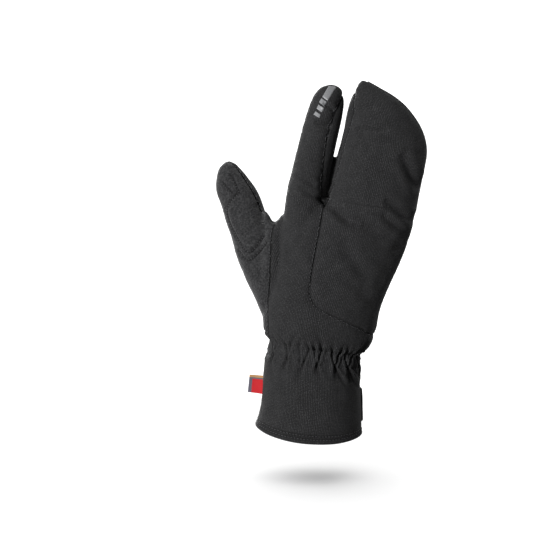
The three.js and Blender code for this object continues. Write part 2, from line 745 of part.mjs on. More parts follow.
// A layer of cloth that lies on the cuff or palm: the space between two skins, seen through an outline.
const layerRows = [{ ...outerRows[0], v: -1.5 * cuffLength }, ...outerRows];
function layer(low, high, outline) {
  const inner = loft(layerRows, bodySides, handPoint, low, true);
  return loft(layerRows, bodySides, handPoint, high, true).subtract(inner).intersect(outline);
}

// The hem's binding, a band a little thicker than the wall that it closes.
const hemRows = [0, 0.5, 1].map((share) => {
  const v = -cuffLength + share * (hemHeight - seamGap);
  const steep = (bodyRows[1].half - bodyRows[0].half) / (bodyRows[1].v - bodyRows[0].v);
  const grown = steep * (v + cuffLength) - (share === 0.5 ? 0 : 0.35 * hemProud);
  return {
    ...bodyRows[0],
    v,
    half: bodyRows[0].half + grown,
    front: bodyRows[0].front + grown,
    back: bodyRows[0].back + grown,
  };
});
const cuffLiningRows = liningRows.filter((row) => row.v < 0);
const hemBinding = loft(hemRows, bodySides, handPoint, hemProud)
  .subtract(loft(cuffLiningRows, bodyLiningSides, handPoint, -hemProud))
  .subtract(slit);

// The stretch panel lies against the inside of the wall, behind the slit.
const ventOuter = -hemProud - seamGap;
const ventGusset = loft(cuffLiningRows, bodyLiningSides, handPoint, ventOuter)
  .subtract(loft(cuffLiningRows, bodyLiningSides, handPoint, ventOuter - ventWall))
  .intersect(
    outThroughCuff([
      [slitToPalm - slitWidth / 2 - ventLap, -cuffLength + 1],
      [slitToPalm + slitWidth / 2 + ventLap, -cuffLength + 1],
      [slitToPalm + slitTopWidth / 2 + ventLap, -cuffLength + slitHeight + ventLap],
      [slitToPalm - slitTopWidth / 2 - ventLap, -cuffLength + slitHeight + ventLap],
    ]),
  );

// The patch and the strap: rounded strips round the palm side of the cuff.
const strapFoot = -cuffLength - 0.5 * hemDip + strapAboveHem;

function roundedStrip(end, foot, top, round) {
  const shape = new THREE.Shape();
  shape.moveTo(farOut, foot);
  shape.lineTo(farOut, top);
  shape.lineTo(end + round, top);
  shape.absarc(end + round, top - round, round, Math.PI / 2, Math.PI, false);
  shape.absarc(end + round, foot + round, round, Math.PI, (3 * Math.PI) / 2, false);
  return shape.getPoints(4).map((p) => [p.x, p.y]);
}

const patchOutline = roundedStrip(
  -strapReach - patchBeyondStrap,
  strapFoot - patchMargin,
  strapFoot + strapHeight + patchMargin,
  strapRound / 2,
);
const strapOutline = roundedStrip(-strapReach, strapFoot, strapFoot + strapHeight, strapRound);
const loopPatch = layer(
  seamGap,
  seamGap + patchThickness,
  throughCuff(patchOutline, seamToPalm + seamGap),
).subtract(
  outThroughCuff([
    [-farOut, -farOut],
    [slitToPalm + slitWidth, -farOut],
    [slitToPalm + slitWidth, farOut],
    [-farOut, farOut],
  ]),
);

// The strap is sewn down at the side seam and climbs over the patch.
const strapLift = (angle) => patchThickness * THREE.MathUtils.smoothstep(angle, 0.1, 0.6);
const wristStrap = layer(
  (angle) => 2 * seamGap + strapLift(angle),
  (angle) => 2 * seamGap + strapLift(angle) + strapThickness,
  throughCuff(strapOutline, strapRoot),
);

// The pad at the heel of the palm, as shares of the hand.
const padOutline = inHand([
  [0.186, 0.695],
  [0.087, 0.671],
  [0.006, 0.598],
  [-0.071, 0.494],
  [-0.134, 0.384],
  [-0.158, 0.310],
  [-0.137, 0.256],
  [-0.065, 0.232],
  [0.07, 0.226],
  [0.188, 0.241],
  [0.248, 0.283],
  [0.287, 0.369],
  [0.312, 0.452],
  [0.336, 0.551],
  [0.303, 0.647],
  [0.24, 0.693],
]);
const palmPad = layer(seamGap, seamGap + padThickness, throughHand(padOutline, curl(0) + seamToPalm));

// Cloths and trims, as the finished glove shows them
const softshell = new THREE.MeshStandardMaterial({ color: 0x373737, roughness: 0.95 });
const brushedCloth = new THREE.MeshStandardMaterial({ color: 0x454545, roughness: 1 });
const suede = new THREE.MeshStandardMaterial({ color: 0x2c2c2d, roughness: 0.9 });
const bindingTape = new THREE.MeshStandardMaterial({ color: 0x222222, roughness: 0.8 });
const stretchCloth = new THREE.MeshStandardMaterial({ color: 0x1a1a1a, roughness: 0.85 });
const loopCloth = new THREE.MeshStandardMaterial({ color: 0x262626, roughness: 1 });
const reflectiveTape = new THREE.MeshStandardMaterial({ color: 0xb4b4b4, roughness: 0.4 });
const labelCloth = new THREE.MeshStandardMaterial({ color: 0x72707c, roughness: 0.8 });

const glove = new THREE.Group();

function addPiece(name, piece, material) {
  let geometry = piece;
  if (!piece.isBufferGeometry) {
    const mesh = piece.getMesh();
    geometry = new THREE.BufferGeometry();
    geometry.setAttribute("position", new THREE.BufferAttribute(new Float32Array(mesh.vertProperties), 3));
    geometry.setIndex(new THREE.BufferAttribute(new Uint32Array(mesh.triVerts), 1));
    geometry.computeVertexNormals();
  }
  const made = new THREE.Mesh(geometry, material);
  made.name = name;
  glove.add(made);
}

addPiece("back_panel", backPanel, softshell);
addPiece("pouch_panel", pouchPanel, softshell);
addPiece("finger_gusset", fingerGusset, softshell);
addPiece("thumb_panel", thumbPanel, brushedCloth);
addPiece("palm_panel", palmPanel, suede);
addPiece("palm_pad", palmPad, suede);
addPiece("cuff_palm_panel", cuffPalmPanel, softshell);
addPiece("hem_binding", hemBinding, bindingTape);
addPiece("vent_gusset", ventGusset, stretchCloth);
addPiece("loop_patch", loopPatch, loopCloth);
addPiece("wrist_strap", wristStrap, suede);
addPiece("edge_piping", pipingAlong(darkRoute, pipingDiameter), bindingTape);
addPiece("reflective_piping", pipingAlong(paleRoute, pipingDiameter), reflectiveTape);
addPiece("side_label", labelBox(0), labelCloth);

export default glove;
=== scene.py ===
import json
import math
import bpy
import numpy as np
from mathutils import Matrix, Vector, kdtree, noise
from mathutils.bvhtree import BVHTree

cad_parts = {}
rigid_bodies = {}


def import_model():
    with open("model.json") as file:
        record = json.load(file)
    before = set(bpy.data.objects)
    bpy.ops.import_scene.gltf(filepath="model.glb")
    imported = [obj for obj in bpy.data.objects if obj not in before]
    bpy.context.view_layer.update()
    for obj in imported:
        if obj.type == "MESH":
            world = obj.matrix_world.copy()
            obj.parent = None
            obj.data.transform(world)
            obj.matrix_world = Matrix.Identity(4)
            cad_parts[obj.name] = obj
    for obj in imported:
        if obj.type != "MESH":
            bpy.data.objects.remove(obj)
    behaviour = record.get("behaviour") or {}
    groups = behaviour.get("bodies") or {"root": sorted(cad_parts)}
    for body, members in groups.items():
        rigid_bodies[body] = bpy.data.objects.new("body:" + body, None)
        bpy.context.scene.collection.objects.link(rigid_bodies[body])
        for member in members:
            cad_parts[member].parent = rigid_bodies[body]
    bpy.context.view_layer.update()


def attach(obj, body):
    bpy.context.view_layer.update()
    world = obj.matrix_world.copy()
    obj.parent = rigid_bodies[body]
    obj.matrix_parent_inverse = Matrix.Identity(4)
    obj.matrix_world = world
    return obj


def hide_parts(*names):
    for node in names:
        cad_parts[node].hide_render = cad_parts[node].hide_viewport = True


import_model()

# The filled hand. The shell of the real glove is cut flat from padded cloth and sewn into a hollow hand.
# One skin is lofted here through the sections of cuff and palm, index finger, pouch and thumb, and all sewn
# panels are cut from it later, so that they meet at their seams. Lengths are in mm until a mesh is made.
MM = 0.001
palm_length, hand_width, hand_depth, curl_depth = 121.0, 104.0, 46.0, 17.0
index_length, index_width, index_depth = 89.0, 31.4, 34.0
pouch_length, pouch_width, pouch_depth = 96.5, 72.0, 41.0
thumb_length, thumb_width, thumb_depth = 137.0, 34.0, 32.0
wrist_width, wrist_depth = 73.0, 48.0
cuff_length, cuff_width, cuff_depth, hem_dip = 65.0, 81.0, 57.0, 6.0
# the hand leans over the cuff, and its sections are boxy: the exponent 2 would make them ellipses
lean = math.radians(8.5)
boxy = 2.25

# down the cuff, shift, width, depth
cuff_sections = [
    (1.25, -0.031, 1.064, 1.05), (1.0, -0.031, 1.064, 1.05), (0.82, -0.012, 1.03, 1.03),
    (0.63, 0.0, 1.0, 1.0), (0.42, 0.0, 0.985, 0.98), (0.26, 0.0, 0.96, 0.94), (0.12, 0.015, 0.93, 0.89)]
# up the palm, middle, half width, front, back
palm_sections = [
    (0.05, 0.025, 0.4, 0.55, 0.56), (0.11, 0.03, 0.432, 0.587, 0.61), (0.2, 0.03, 0.444, 0.6, 0.64),
    (0.33, 0.038, 0.442, 0.565, 0.64), (0.53, 0.077, 0.461, 0.52, 0.59), (0.65, 0.096, 0.481, 0.5, 0.555),
    (0.8, 0.117, 0.493, 0.475, 0.515), (0.91, 0.125, 0.48, 0.4, 0.43), (0.98, 0.125, 0.44, 0.26, 0.28),
    (1.0, 0.125, 0.38, 0.12, 0.13)]
# up from the crotch, middle, half width, front, back
index_sections = [
    (-0.6, -0.205, 0.38, 0.33, 0.36), (-0.28, -0.219, 0.48, 0.49, 0.51), (0.0, -0.22, 0.5, 0.51, 0.53),
    (0.2, -0.21, 0.5, 0.5, 0.52), (0.4, -0.196, 0.495, 0.475, 0.49), (0.6, -0.18, 0.485, 0.45, 0.455),
    (0.75, -0.167, 0.465, 0.415, 0.415), (0.86, -0.156, 0.43, 0.36, 0.36), (0.93, -0.147, 0.36, 0.295, 0.29),
    (0.975, -0.139, 0.25, 0.2, 0.2), (1.0, -0.135, 0.1, 0.08, 0.08)]
pouch_sections = [
    (-0.6, 0.26, 0.34, 0.36, 0.4), (-0.26, 0.282, 0.465, 0.5, 0.535), (0.0, 0.279, 0.5, 0.512, 0.524),
    (0.15, 0.29, 0.501, 0.5, 0.512), (0.28, 0.298, 0.499, 0.488, 0.488), (0.4, 0.309, 0.494, 0.465, 0.463),
    (0.49, 0.313, 0.487, 0.45, 0.44), (0.57, 0.308, 0.469, 0.428, 0.415), (0.67, 0.286, 0.432, 0.39, 0.38),
    (0.77, 0.248, 0.368, 0.34, 0.33), (0.855, 0.21, 0.292, 0.28, 0.27), (0.91, 0.166, 0.21, 0.22, 0.207),
    (0.953, 0.123, 0.124, 0.151, 0.146), (0.985, 0.095, 0.06, 0.08, 0.08), (1.0, 0.09, 0.02, 0.03, 0.03)]
# up from the thumb's root, bend, half width, depth
thumb_sections = [
    (0.0, 0.12, 0.47, 0.5), (0.15, 0.1, 0.5, 0.56), (0.3, 0.055, 0.5, 0.57), (0.45, 0.04, 0.49, 0.54),
    (0.6, 0.06, 0.48, 0.5), (0.74, 0.06, 0.472, 0.46), (0.85, 0.015, 0.408, 0.39), (0.92, 0.02, 0.31, 0.3),
    (0.97, 0.045, 0.19, 0.185), (0.995, 0.06, 0.07, 0.07)]

# the webs, the first three between thumb and hand with a dip at the crotch, the last at the foot of the gap
# between the fingers: up the palm, middle, half width, front, back
web_sections = [
    (0.3, -0.38, 0.08, 0.24, 0.4), (0.5, -0.4, 0.1, 0.27, 0.42), (0.64, -0.408, 0.09, 0.22, 0.41),
    (0.75, -0.422, 0.05, 0.1, 0.32), (0.785, -0.426, 0.03, 0.03, 0.2)]
web_to_thumb = [
    (0.6, -0.42, 0.06, 0.1, 0.38), (0.72, -0.445, 0.05, 0.04, 0.34), (0.795, -0.478, 0.032, 0.0, 0.3),
    (0.85, -0.51, 0.014, 0.0, 0.2)]
web_to_hand = [
    (0.6, -0.4, 0.06, 0.2, 0.36), (0.74, -0.4, 0.045, 0.14, 0.3), (0.79, -0.392, 0.03, 0.1, 0.25),
    (0.84, -0.378, 0.012, 0.03, 0.15)]
web_of_fingers = [
    (0.95, -0.053, 0.045, -0.03, 0.3), (1.08, -0.052, 0.042, -0.03, 0.29), (1.2, -0.05, 0.035, -0.06, 0.25),
    (1.27, -0.046, 0.025, -0.06, 0.2)]

hand_scale = (palm_length, hand_width, hand_width, hand_depth, hand_depth)
body_rows = np.array(
    [(-d * cuff_length, s * cuff_width, w * cuff_width / 2, t * cuff_depth / 2, t * cuff_depth / 2)
     for d, s, w, t in cuff_sections]
    + [(0.0, 0.02 * hand_width, wrist_width / 2, wrist_depth / 2, wrist_depth / 2)]
    + (np.array(palm_sections) * hand_scale).tolist())


def finger_rows(sections, length, width, depth, gap_side):
    # the side wall next to the gap between the fingers is drawn in a little, so that the gap stays open
    drawn_in = 0.4
    return np.array([(palm_length + p * length, m * hand_width - gap_side * drawn_in,
                      h * width - drawn_in * (p > 0), f * depth, b * depth) for p, m, h, f, b in sections])


index_rows = finger_rows(index_sections, index_length, index_width, index_depth, 1)
pouch_rows = finger_rows(pouch_sections, pouch_length, pouch_width, pouch_depth, -1)
webs = [(np.array(sections) * hand_scale, 40, False)
        for sections in (web_sections, web_to_thumb, web_to_hand, web_of_fingers)]
thumb_rows = np.array([(p * thumb_length, m * thumb_width, h * thumb_width, d * thumb_depth, d * thumb_depth)
                       for p, m, h, d in thumb_sections])


def through(rows, between):
    made = []
    for i in range(len(rows) - 1):
        a, b, c, d = rows[max(i - 1, 0)], rows[i], rows[i + 1], rows[min(i + 2, len(rows) - 1)]
        for t in np.arange(between) / between:
            made.append(b + 0.5 * t * (c - a + t * (2 * a - 5 * b + 4 * c - d + t * (3 * (b - c) + d - a))))
    return np.array(made + [rows[-1]])


def curl(v):
    straight = 0.9 * palm_length
    share = np.maximum(0, v - straight) / (palm_length + pouch_length - straight)
    return curl_depth * share ** 1.6


def tilt_at(v):
    return lean * (1 + 0.45 * np.minimum(v, 0) / cuff_length)


def on_hand(u, y, v):
    tilt, above = tilt_at(v), np.maximum(v, 0)
    return np.stack([u * np.cos(tilt) + above * math.sin(lean), y + 0 * u,
                     np.minimum(v, 0) + above * math.cos(lean) - u * np.sin(tilt)], -1)


thumb_root = np.array([-0.24 * hand_width, 0.07 * hand_depth, 0.17 * palm_length])
splay, forward = math.radians(20), math.radians(8.5)
along_thumb = np.array([-math.sin(splay), math.tan(forward), math.cos(splay)])
along_thumb /= np.linalg.norm(along_thumb)
across_thumb = np.cross((0, 1, 0), along_thumb)
across_thumb /= np.linalg.norm(across_thumb)
thumb_to_palm = np.cross(along_thumb, across_thumb)


def on_thumb(u, y, v):
    return (thumb_root + np.multiply.outer(u, across_thumb) + np.multiply.outer(y, thumb_to_palm)
            + np.multiply.outer(v, along_thumb))


def power(x, exponent):
    return np.sign(x) * np.abs(x) ** exponent


def ring(row, angles, thumb=False):
    v, u, half, front, back = row
    across = u + half * power(np.cos(angles), 2 / boxy)
    depth = np.where(np.sin(angles) < 0, front, back) * power(np.sin(angles), 2 / boxy)
    if thumb:
        return on_thumb(across, depth, np.full_like(across, v))
    dip = hem_dip * np.sin(angles) ** 2 * (min(v, 0) / cuff_length) ** 2
    return on_hand(across, curl(v) + depth, v - dip)


def tube_faces(rings, sides):
    # the quads between rings of points that are numbered one after another
    return [(r * sides + j, r * sides + (j + 1) % sides, (r + 1) * sides + (j + 1) % sides,
             (r + 1) * sides + j) for r in range(rings - 1) for j in range(sides)]


def skin_through(rows, sides, thumb):
    angles = np.arange(sides) * 2 * math.pi / sides
    rings = [ring(row, angles, thumb) for row in rows]
    points = np.concatenate(rings + [rings[0].mean(0)[None], rings[-1].mean(0)[None]])
    faces, last, centre = tube_faces(len(rows), sides), (len(rows) - 1) * sides, len(rows) * sides
    for j in range(sides):
        k = (j + 1) % sides
        faces += [(centre, k, j), (centre + 1, last + j, last + k)]
    return points, faces


def joined(shapes):
    # many shapes, each with its own points and faces, as the points and faces of one
    points, faces = [], []
    for own_points, own_faces in shapes:
        faces += [tuple(i + len(points) for i in face) for face in own_faces]
        points += list(own_points)
    return points, faces


def make_mesh(name, points_mm, faces):
    mesh = bpy.data.meshes.new(name)
    mesh.from_pydata((np.asarray(points_mm) * MM).tolist(), [], faces)
    mesh.update()
    return mesh


def put_in_scene(name, data):
    thing = bpy.data.objects.new(name, data)
    bpy.context.collection.objects.link(thing)
    return thing


# rows, sides round, whether they stand on the thumb's axis
lofts = [(body_rows, 120, False), (index_rows, 64, False), (pouch_rows, 90, False), *webs,
         (thumb_rows, 64, True)]
form = put_in_scene("form", make_mesh("form", *joined(
    skin_through(through(rows, 5), sides, thumb) for rows, sides, thumb in lofts)))
# fine enough for the folds, and coarse enough for the palm to stay under 200,000 triangles
voxel = 0.86
remesh = form.modifiers.new("voxel", "REMESH")
remesh.mode = "VOXEL"
remesh.voxel_size = voxel * MM
skin_mesh = bpy.data.meshes.new_from_object(form.evaluated_get(bpy.context.evaluated_depsgraph_get()))
bpy.data.objects.remove(form)


def sides_of(quads):
    return np.concatenate([quads[:, [k, (k + 1) % 4]] for k in range(4)])


P = np.empty(len(skin_mesh.vertices) * 3)
skin_mesh.vertices.foreach_get("co", P)
P = P.reshape(-1, 3) / MM
F = np.empty(len(skin_mesh.loops), dtype=int)
skin_mesh.loops.foreach_get("vertex_index", F)
F = F.reshape(-1, 4)
E = np.unique(np.sort(sides_of(F), axis=1), axis=0)
bpy.data.meshes.remove(skin_mesh)
links = np.bincount(E.ravel(), minlength=len(P))[:, None]


def neighbours_mean(field):
    total = np.zeros_like(field)
    for c in range(field.shape[1]):
        total[:, c] = (np.bincount(E[:, 0], field[E[:, 1], c], len(P))
                       + np.bincount(E[:, 1], field[E[:, 0], c], len(P)))
    return total / links


def relax(points, rounds, share):
    for _ in range(rounds):
        points = points + share * (neighbours_mean(points) - points)
    return points


def normals_of(points):
    a, b, c, d = (points[F[:, k]] for k in range(4))
    face = np.cross(c - a, d - b)
    out = np.zeros_like(points)
    for k in range(4):
        for axis in range(3):
            out[:, axis] += np.bincount(F[:, k], face[:, axis], len(points))
    return out / np.maximum(np.linalg.norm(out, axis=1, keepdims=True), 1e-9)


P = relax(P, 14, 0.5)


# Cut lines. Each panel of the real shell is cut to a paper pattern, and its edge is one of these lines. A line
# is a distance in mm over the skin, below zero on the side of the piece that it bounds.
fine_rows = through(body_rows, 8)


def hand_coords(q):
    x, z = q[:, 0], q[:, 2]
    v = x * math.sin(lean) + z * math.cos(lean)
    u = x * math.cos(lean) - z * math.sin(lean)
    low = v < 0
    down = np.where(low, v, 0)
    for _ in range(6):
        across = x / np.cos(tilt_at(down))
        down = np.where(low, np.minimum(z + across * np.sin(tilt_at(down)), 0), 0)
    return np.where(low, across, u), np.where(low, down, v)


def section_at(v, y):
    middle, half, front, back = (np.interp(v, fine_rows[:, 0], fine_rows[:, c]) for c in (1, 2, 3, 4))
    return middle, half, np.where(y < curl(v), front, back)


def hem_coords(q):
    # how far up from the hem's own dipping line a point of the cuff is
    u, v = hand_coords(q)
    up = v.copy()
    for _ in range(2):
        deep = section_at(up, q[:, 1])[2]
        share = np.minimum(np.abs(q[:, 1]) / deep, 1) ** boxy
        up = np.where(v < 0, v + hem_dip * share * (np.minimum(up, 0) / cuff_length) ** 2, v)
    return up + cuff_length


def thumb_coords(q):
    away = q - thumb_root
    return away @ across_thumb, away @ thumb_to_palm, away @ along_thumb


def from_line(line, a, b, closed=True):
    # signed distance to an outline in (a, b), below zero inside it
    line = np.asarray(line, float)
    ends = np.roll(line, -1, 0) if closed else line[1:]
    nearest, inside = np.full(len(a), 1e9), np.zeros(len(a), bool)
    for (a1, b1), (a2, b2) in zip(line, ends):
        da, db = a2 - a1, b2 - b1
        t = np.clip(((a - a1) * da + (b - b1) * db) / (da * da + db * db + 1e-12), 0, 1)
        nearest = np.minimum(nearest, np.hypot(a - a1 - t * da, b - b1 - t * db))
        if db:
            crosses = ((b1 > b) != (b2 > b)) & (a < a1 + (b - b1) / db * da)
            inside ^= crosses
    return np.where(inside, -nearest, nearest)


def rounded(line, rounds=2):
    # a paper pattern's corners are cut round
    line = np.asarray(line, float)
    for _ in range(rounds):
        cut = [line[0]]
        for p, q in zip(line, line[1:]):
            cut += [0.75 * p + 0.25 * q, 0.25 * p + 0.75 * q]
        line = np.array(cut + [line[-1]])
    return line


far = 500.0
seam_to_palm, slit_to_palm, gusset_to_palm = 1.5, 14.0, 5.0
hem_height, slit_half, slit_top_half, slit_height, slit_corner = 6.4, 4.5, 0.9, 38.0, 7.0
hand = np.array((hand_width, palm_length))
pouch_seam = rounded(np.array([(-0.07, 1.0), (-0.083, 0.95), (-0.088, 0.77), (-0.1, 0.57), (-0.098, 0.42),
                               (-0.08, 0.345), (-0.025, 0.295), (0.056, 0.269), (0.237, 0.224), (0.356, 0.19),
                               (0.45, 0.145)]) * hand)
pouch_outline = np.concatenate([pouch_seam, [(far, pouch_seam[-1, 1]), (far, far), (0, far)],
                                [(u * hand_width, palm_length + up * pouch_length) for u, up in
                                 ((-0.01, 1), (-0.026, 0.6), (-0.03, 0.45), (-0.048, 0.3), (-0.06, 0.15))]])
wall_left = [
    (-0.111, 0.085), (-0.126, 0.31), (-0.128, 0.57), (-0.118, 0.65), (-0.071, 0.83), (-0.036, 0.955),
    (-0.02, 1.2)]
wall_right = [
    (0.015, 1.2), (0.027, 0.9), (0.035, 0.75), (0.02, 0.62), (0.0, 0.5), (-0.015, 0.33), (-0.033, 0.16),
    (-0.048, 0.04)]
gusset_outline = [(-0.073 * hand_width, 0.945 * palm_length)] + [
    (u * hand_width, palm_length + up * index_length) for u, up in
    [tuple(p) for p in rounded(wall_left, 1)] + [tuple(p) for p in rounded(wall_right, 1)]]
thumb_foot = 0.06 * palm_length
thumb_back_line = rounded(np.array([(-0.355, 0.06), (-0.377, 0.145), (-0.396, 0.265), (-0.388, 0.34),
                                    (-0.413, 0.53), (-0.44, 0.725), (-0.425, 0.8), (-0.425, 2.0)]) * hand, 1)
axis_in_hand = np.array([hand_coords(on_thumb(np.zeros(1), np.zeros(1), np.array([t * thumb_length])))
                         for t in (0, 0.5, 1.1)])[:, :, 0]
thumb_palm_line = rounded(np.concatenate([[(-0.2 * hand_width, thumb_foot)], axis_in_hand]), 1)
palm_foot = rounded(np.array([(-0.5, 0.11), (-0.28, 0.11), (-0.2, 0.085), (-0.09, 0.085), (0.02, 0.07),
                              (0.14, 0.065), (0.24, 0.05), (0.36, 0.06), (0.5, 0.09)]) * hand, 1)


def side_seam(u, v):
    # where the seam between back and palm lies: it runs round towards the palm on the little finger's cuff
    from_v, to_v = -0.35 * cuff_length, 0.3 * palm_length
    round_there = slit_to_palm + (seam_to_palm - slit_to_palm) * np.clip((v - from_v) / (to_v - from_v), 0, 1)
    return np.where(u < 0, seam_to_palm, round_there) + curl(v)


def palm_line(q):
    u, v = hand_coords(q)
    return side_seam(u, v) - q[:, 1]


def gusset_line(q):
    u, v = hand_coords(q)
    return np.maximum(from_line(gusset_outline, u, v), q[:, 1] - side_seam(u, v) - gusset_to_palm)


def pouch_line(q):
    u, v = hand_coords(q)
    return from_line(pouch_outline, u, v)


def thumb_line(q):
    u, v = hand_coords(q)
    a, b, _ = thumb_coords(q)
    nail = b * math.cos(math.radians(30)) + a * math.sin(math.radians(30))
    over_back = np.maximum(u - np.interp(v, thumb_back_line[:, 1], thumb_back_line[:, 0]), nail)
    over_palm = np.maximum(u - np.interp(v, thumb_palm_line[:, 1], thumb_palm_line[:, 0]),
                           seam_to_palm - q[:, 1])
    return np.maximum(np.minimum(over_back, over_palm), thumb_foot - v)


def foot_line(q):
    u, v = hand_coords(q)
    return np.interp(u, palm_foot[:, 0], palm_foot[:, 1]) - v


def hem_line(q):
    return hem_coords(q) - hem_height


def slit_half_at(up):
    return np.interp(up, (0, slit_height), (slit_half, slit_top_half))


def edge_line(q):
    # the cuff's edge, which turns up into the slit round a corner
    up = hem_coords(q)
    beside = np.maximum(np.abs(q[:, 1] - slit_to_palm) - slit_half_at(up), up - slit_height)
    beside = np.where(q[:, 0] > 0, beside, far)
    return slit_corner - np.hypot(np.maximum(slit_corner - up, 0), np.maximum(slit_corner - beside, 0))


def zones_of(q):
    # what each face of the skin is part of, the outermost cut last: 1 back, 2 pouch, 3 side wall between index
    # finger and pouch, 4 thumb, 5 palm, 6 palm side of the cuff, 7 hem, 0 cut away
    zone = np.where(palm_line(q) < 0, np.where(foot_line(q) < 0, 5, 6), np.where(pouch_line(q) < 0, 2, 1))
    zone[gusset_line(q) < 0] = 3
    zone[thumb_line(q) < 0] = 4
    zone[hem_line(q) < 0] = 7
    zone[edge_line(q) < 0] = 0
    return zone


def in_surface(field, normal):
    return field - (field * normal).sum(1, keepdims=True) * normal


def snap(points, rims, line):
    # moves the points of a rim over the skin until they lie on their line
    normal, probe, longest_move = normals_of(points)[rims], 0.1, 0.8
    for _ in range(3):
        q = points[rims]
        slope = in_surface(np.stack([(line(q + step) - line(q - step)) / (2 * probe)
                                     for step in probe * np.eye(3)], 1), normal)
        size = (slope ** 2).sum(1, keepdims=True)
        move = -line(q)[:, None] * slope / np.maximum(size, 0.05)
        length = np.linalg.norm(move, axis=1, keepdims=True)
        points[rims] = q + move * np.minimum(1, longest_move / np.maximum(length, 1e-9))
    return points


# which line parts which two pieces, by the numbers of zones_of
bounds_of_pieces = ([(0, k, edge_line) for k in (1, 6, 7)] + [(7, k, hem_line) for k in (1, 6)]
                    + [(4, k, thumb_line) for k in (1, 5, 6, 3)] + [(3, k, gusset_line) for k in (1, 2, 5)]
                    + [(1, 2, pouch_line), (5, 6, foot_line)]
                    + [(j, k, palm_line) for j in (1, 2) for k in (5, 6)])
zone = zones_of(P[F].mean(1))
touching = np.zeros((len(P), 8), bool)
for k in range(4):
    touching[F[:, k], zone] = True
taken = touching.sum(1) < 2
inside_a_piece, rims_of = taken[:, None].copy(), []
for a, b, line in bounds_of_pieces:
    here = touching[:, a] & touching[:, b] & ~taken
    rims_of.append(np.flatnonzero(here))
    P = snap(P, rims_of[-1], line)
    taken |= here
for _ in range(6):
    P = P + np.where(inside_a_piece, 0.5 * in_surface(neighbours_mean(P) - P, normals_of(P)), 0)


# How the sewing shapes the cloth. Every seam pulls the padded cloth down to itself and puckers it, the elastic
# draws the wrist in to some thirty pleats between two stitched lines, and a filled hand leaves a few creases.
normal = normals_of(P)
u, v = hand_coords(P)
middle, half, deep = section_at(v, P[:, 1])
across_share = np.clip((u - middle) / half, -1, 1)
deep_share = np.clip((P[:, 1] - curl(v)) / deep, -1, 1)
facing = np.abs(deep_share) ** 1.2


def distances_to(marked):
    tree = kdtree.KDTree(len(marked))
    for i, p in enumerate(P[marked]):
        tree.insert(Vector(p), i)
    tree.balance()
    found = [tree.find(Vector(p)) for p in P]
    return np.array([f[2] for f in found]), np.array([f[1] for f in found])


def soft_noise(points, size, seed):
    shift = Vector((seed * 7.3, seed * 3.1, seed * 5.7))
    return np.array([noise.noise(Vector(p) / size + shift) for p in points])


def bell(distance, width):
    return np.exp(-(distance / width) ** 2)


def rims_where(chosen):
    return np.concatenate([rims for (a, b, _), rims in zip(bounds_of_pieces, rims_of) if chosen(a, b)])


sewn = rims_where(lambda a, b: a and 7 not in (a, b))
# how far each seam pulls the cloth in, in mm: the thumb's brushed cloth lies softer than the shell's
pull_of = np.full(len(P), 1.1)
pull_of[rims_where(lambda a, b: a == 4)] = 0.8
pull_of[rims_where(lambda a, b: (a, b) == (5, 6))] = 0.5
from_seam, seam_point = distances_to(sewn)
pucker = (soft_noise(P[sewn], 4.2, 1) + 0.5 * soft_noise(P[sewn], 2.3, 2))[seam_point]
in_seam = bell(from_seam, 0.9)
move_out = -pull_of[sewn][seam_point] * bell(from_seam, 4.5) - 0.8 * in_seam
move_out += 0.55 * pucker * bell(from_seam, 5.0) * (1 - in_seam)

# slack in the padding between the seams
free = 1 - bell(from_seam, 9.0)
move_out += free * (0.75 * soft_noise(P, 24.0, 3) + 0.28 * soft_noise(P, 9.0, 4))

# creases: palm side or not, shares of the hand from and to, depth and spread in mm
creases = [
    (0, -0.3, 1.045, -0.06, 0.975, 2.4, 1.9), (0, -0.12, 1.01, 0.14, 0.87, 2.2, 3.0),
    (0, 0.0, 0.935, 0.36, 0.835, 2.1, 4.0), (0, 0.0, 0.985, 0.24, 0.965, 1.4, 3.6),
    (0, 0.22, 0.87, 0.6, 0.8, 2.2, 3.8), (0, 0.36, 1.05, 0.64, 0.92, 2.7, 3.4),
    (0, 0.36, 0.95, 0.6, 0.85, 2.3, 3.0), (0, 0.44, 1.36, 0.64, 1.13, 2.3, 4.0),
    (0, 0.5, 0.7, 0.6, 0.86, 1.4, 4.0), (0, 0.08, 0.74, 0.36, 0.5, 1.9, 5.5),
    (0, 0.03, 1.44, 0.32, 1.495, 1.9, 3.2), (0, 0.0, 1.575, 0.2, 1.625, 1.5, 3.0),
    (0, -0.25, 1.474, -0.1, 1.464, 2.6, 1.8), (0, -0.2, 1.605, -0.1, 1.57, 2.0, 1.6),
    (0, -0.32, 1.125, -0.16, 1.075, 1.5, 2.2), (0, 0.1, 0.53, 0.38, 0.43, 1.4, 4.5),
    (0, -0.32, 0.61, -0.12, 0.51, 1.1, 4.0), (1, -0.36, 0.66, -0.3, 0.38, 2.0, 5.0),
    (1, 0.05, 0.97, 0.6, 1.04, 1.6, 4.5), (1, -0.22, 1.203, -0.08, 1.187, 1.5, 2.6),
    (1, -0.14, 0.84, 0.34, 0.94, 1.2, 4.0)]
for on_palm, u1, v1, u2, v2, depth, spread in creases:
    a = np.array((u1 * hand_width, v1 * palm_length))
    ab = np.array((u2 * hand_width, v2 * palm_length)) - a
    share = np.clip(((u - a[0]) * ab[0] + (v - a[1]) * ab[1]) / (ab @ ab), 0, 1)
    off = np.hypot(u - a[0] - share * ab[0], v - a[1] - share * ab[1])
    shown = ((deep_share > 0) == bool(on_palm)) * facing * depth * np.sqrt(4 * share * (1 - share))
    move_out += shown * (0.4 * bell(off - 1.9 * spread, spread) - bell(off, spread))

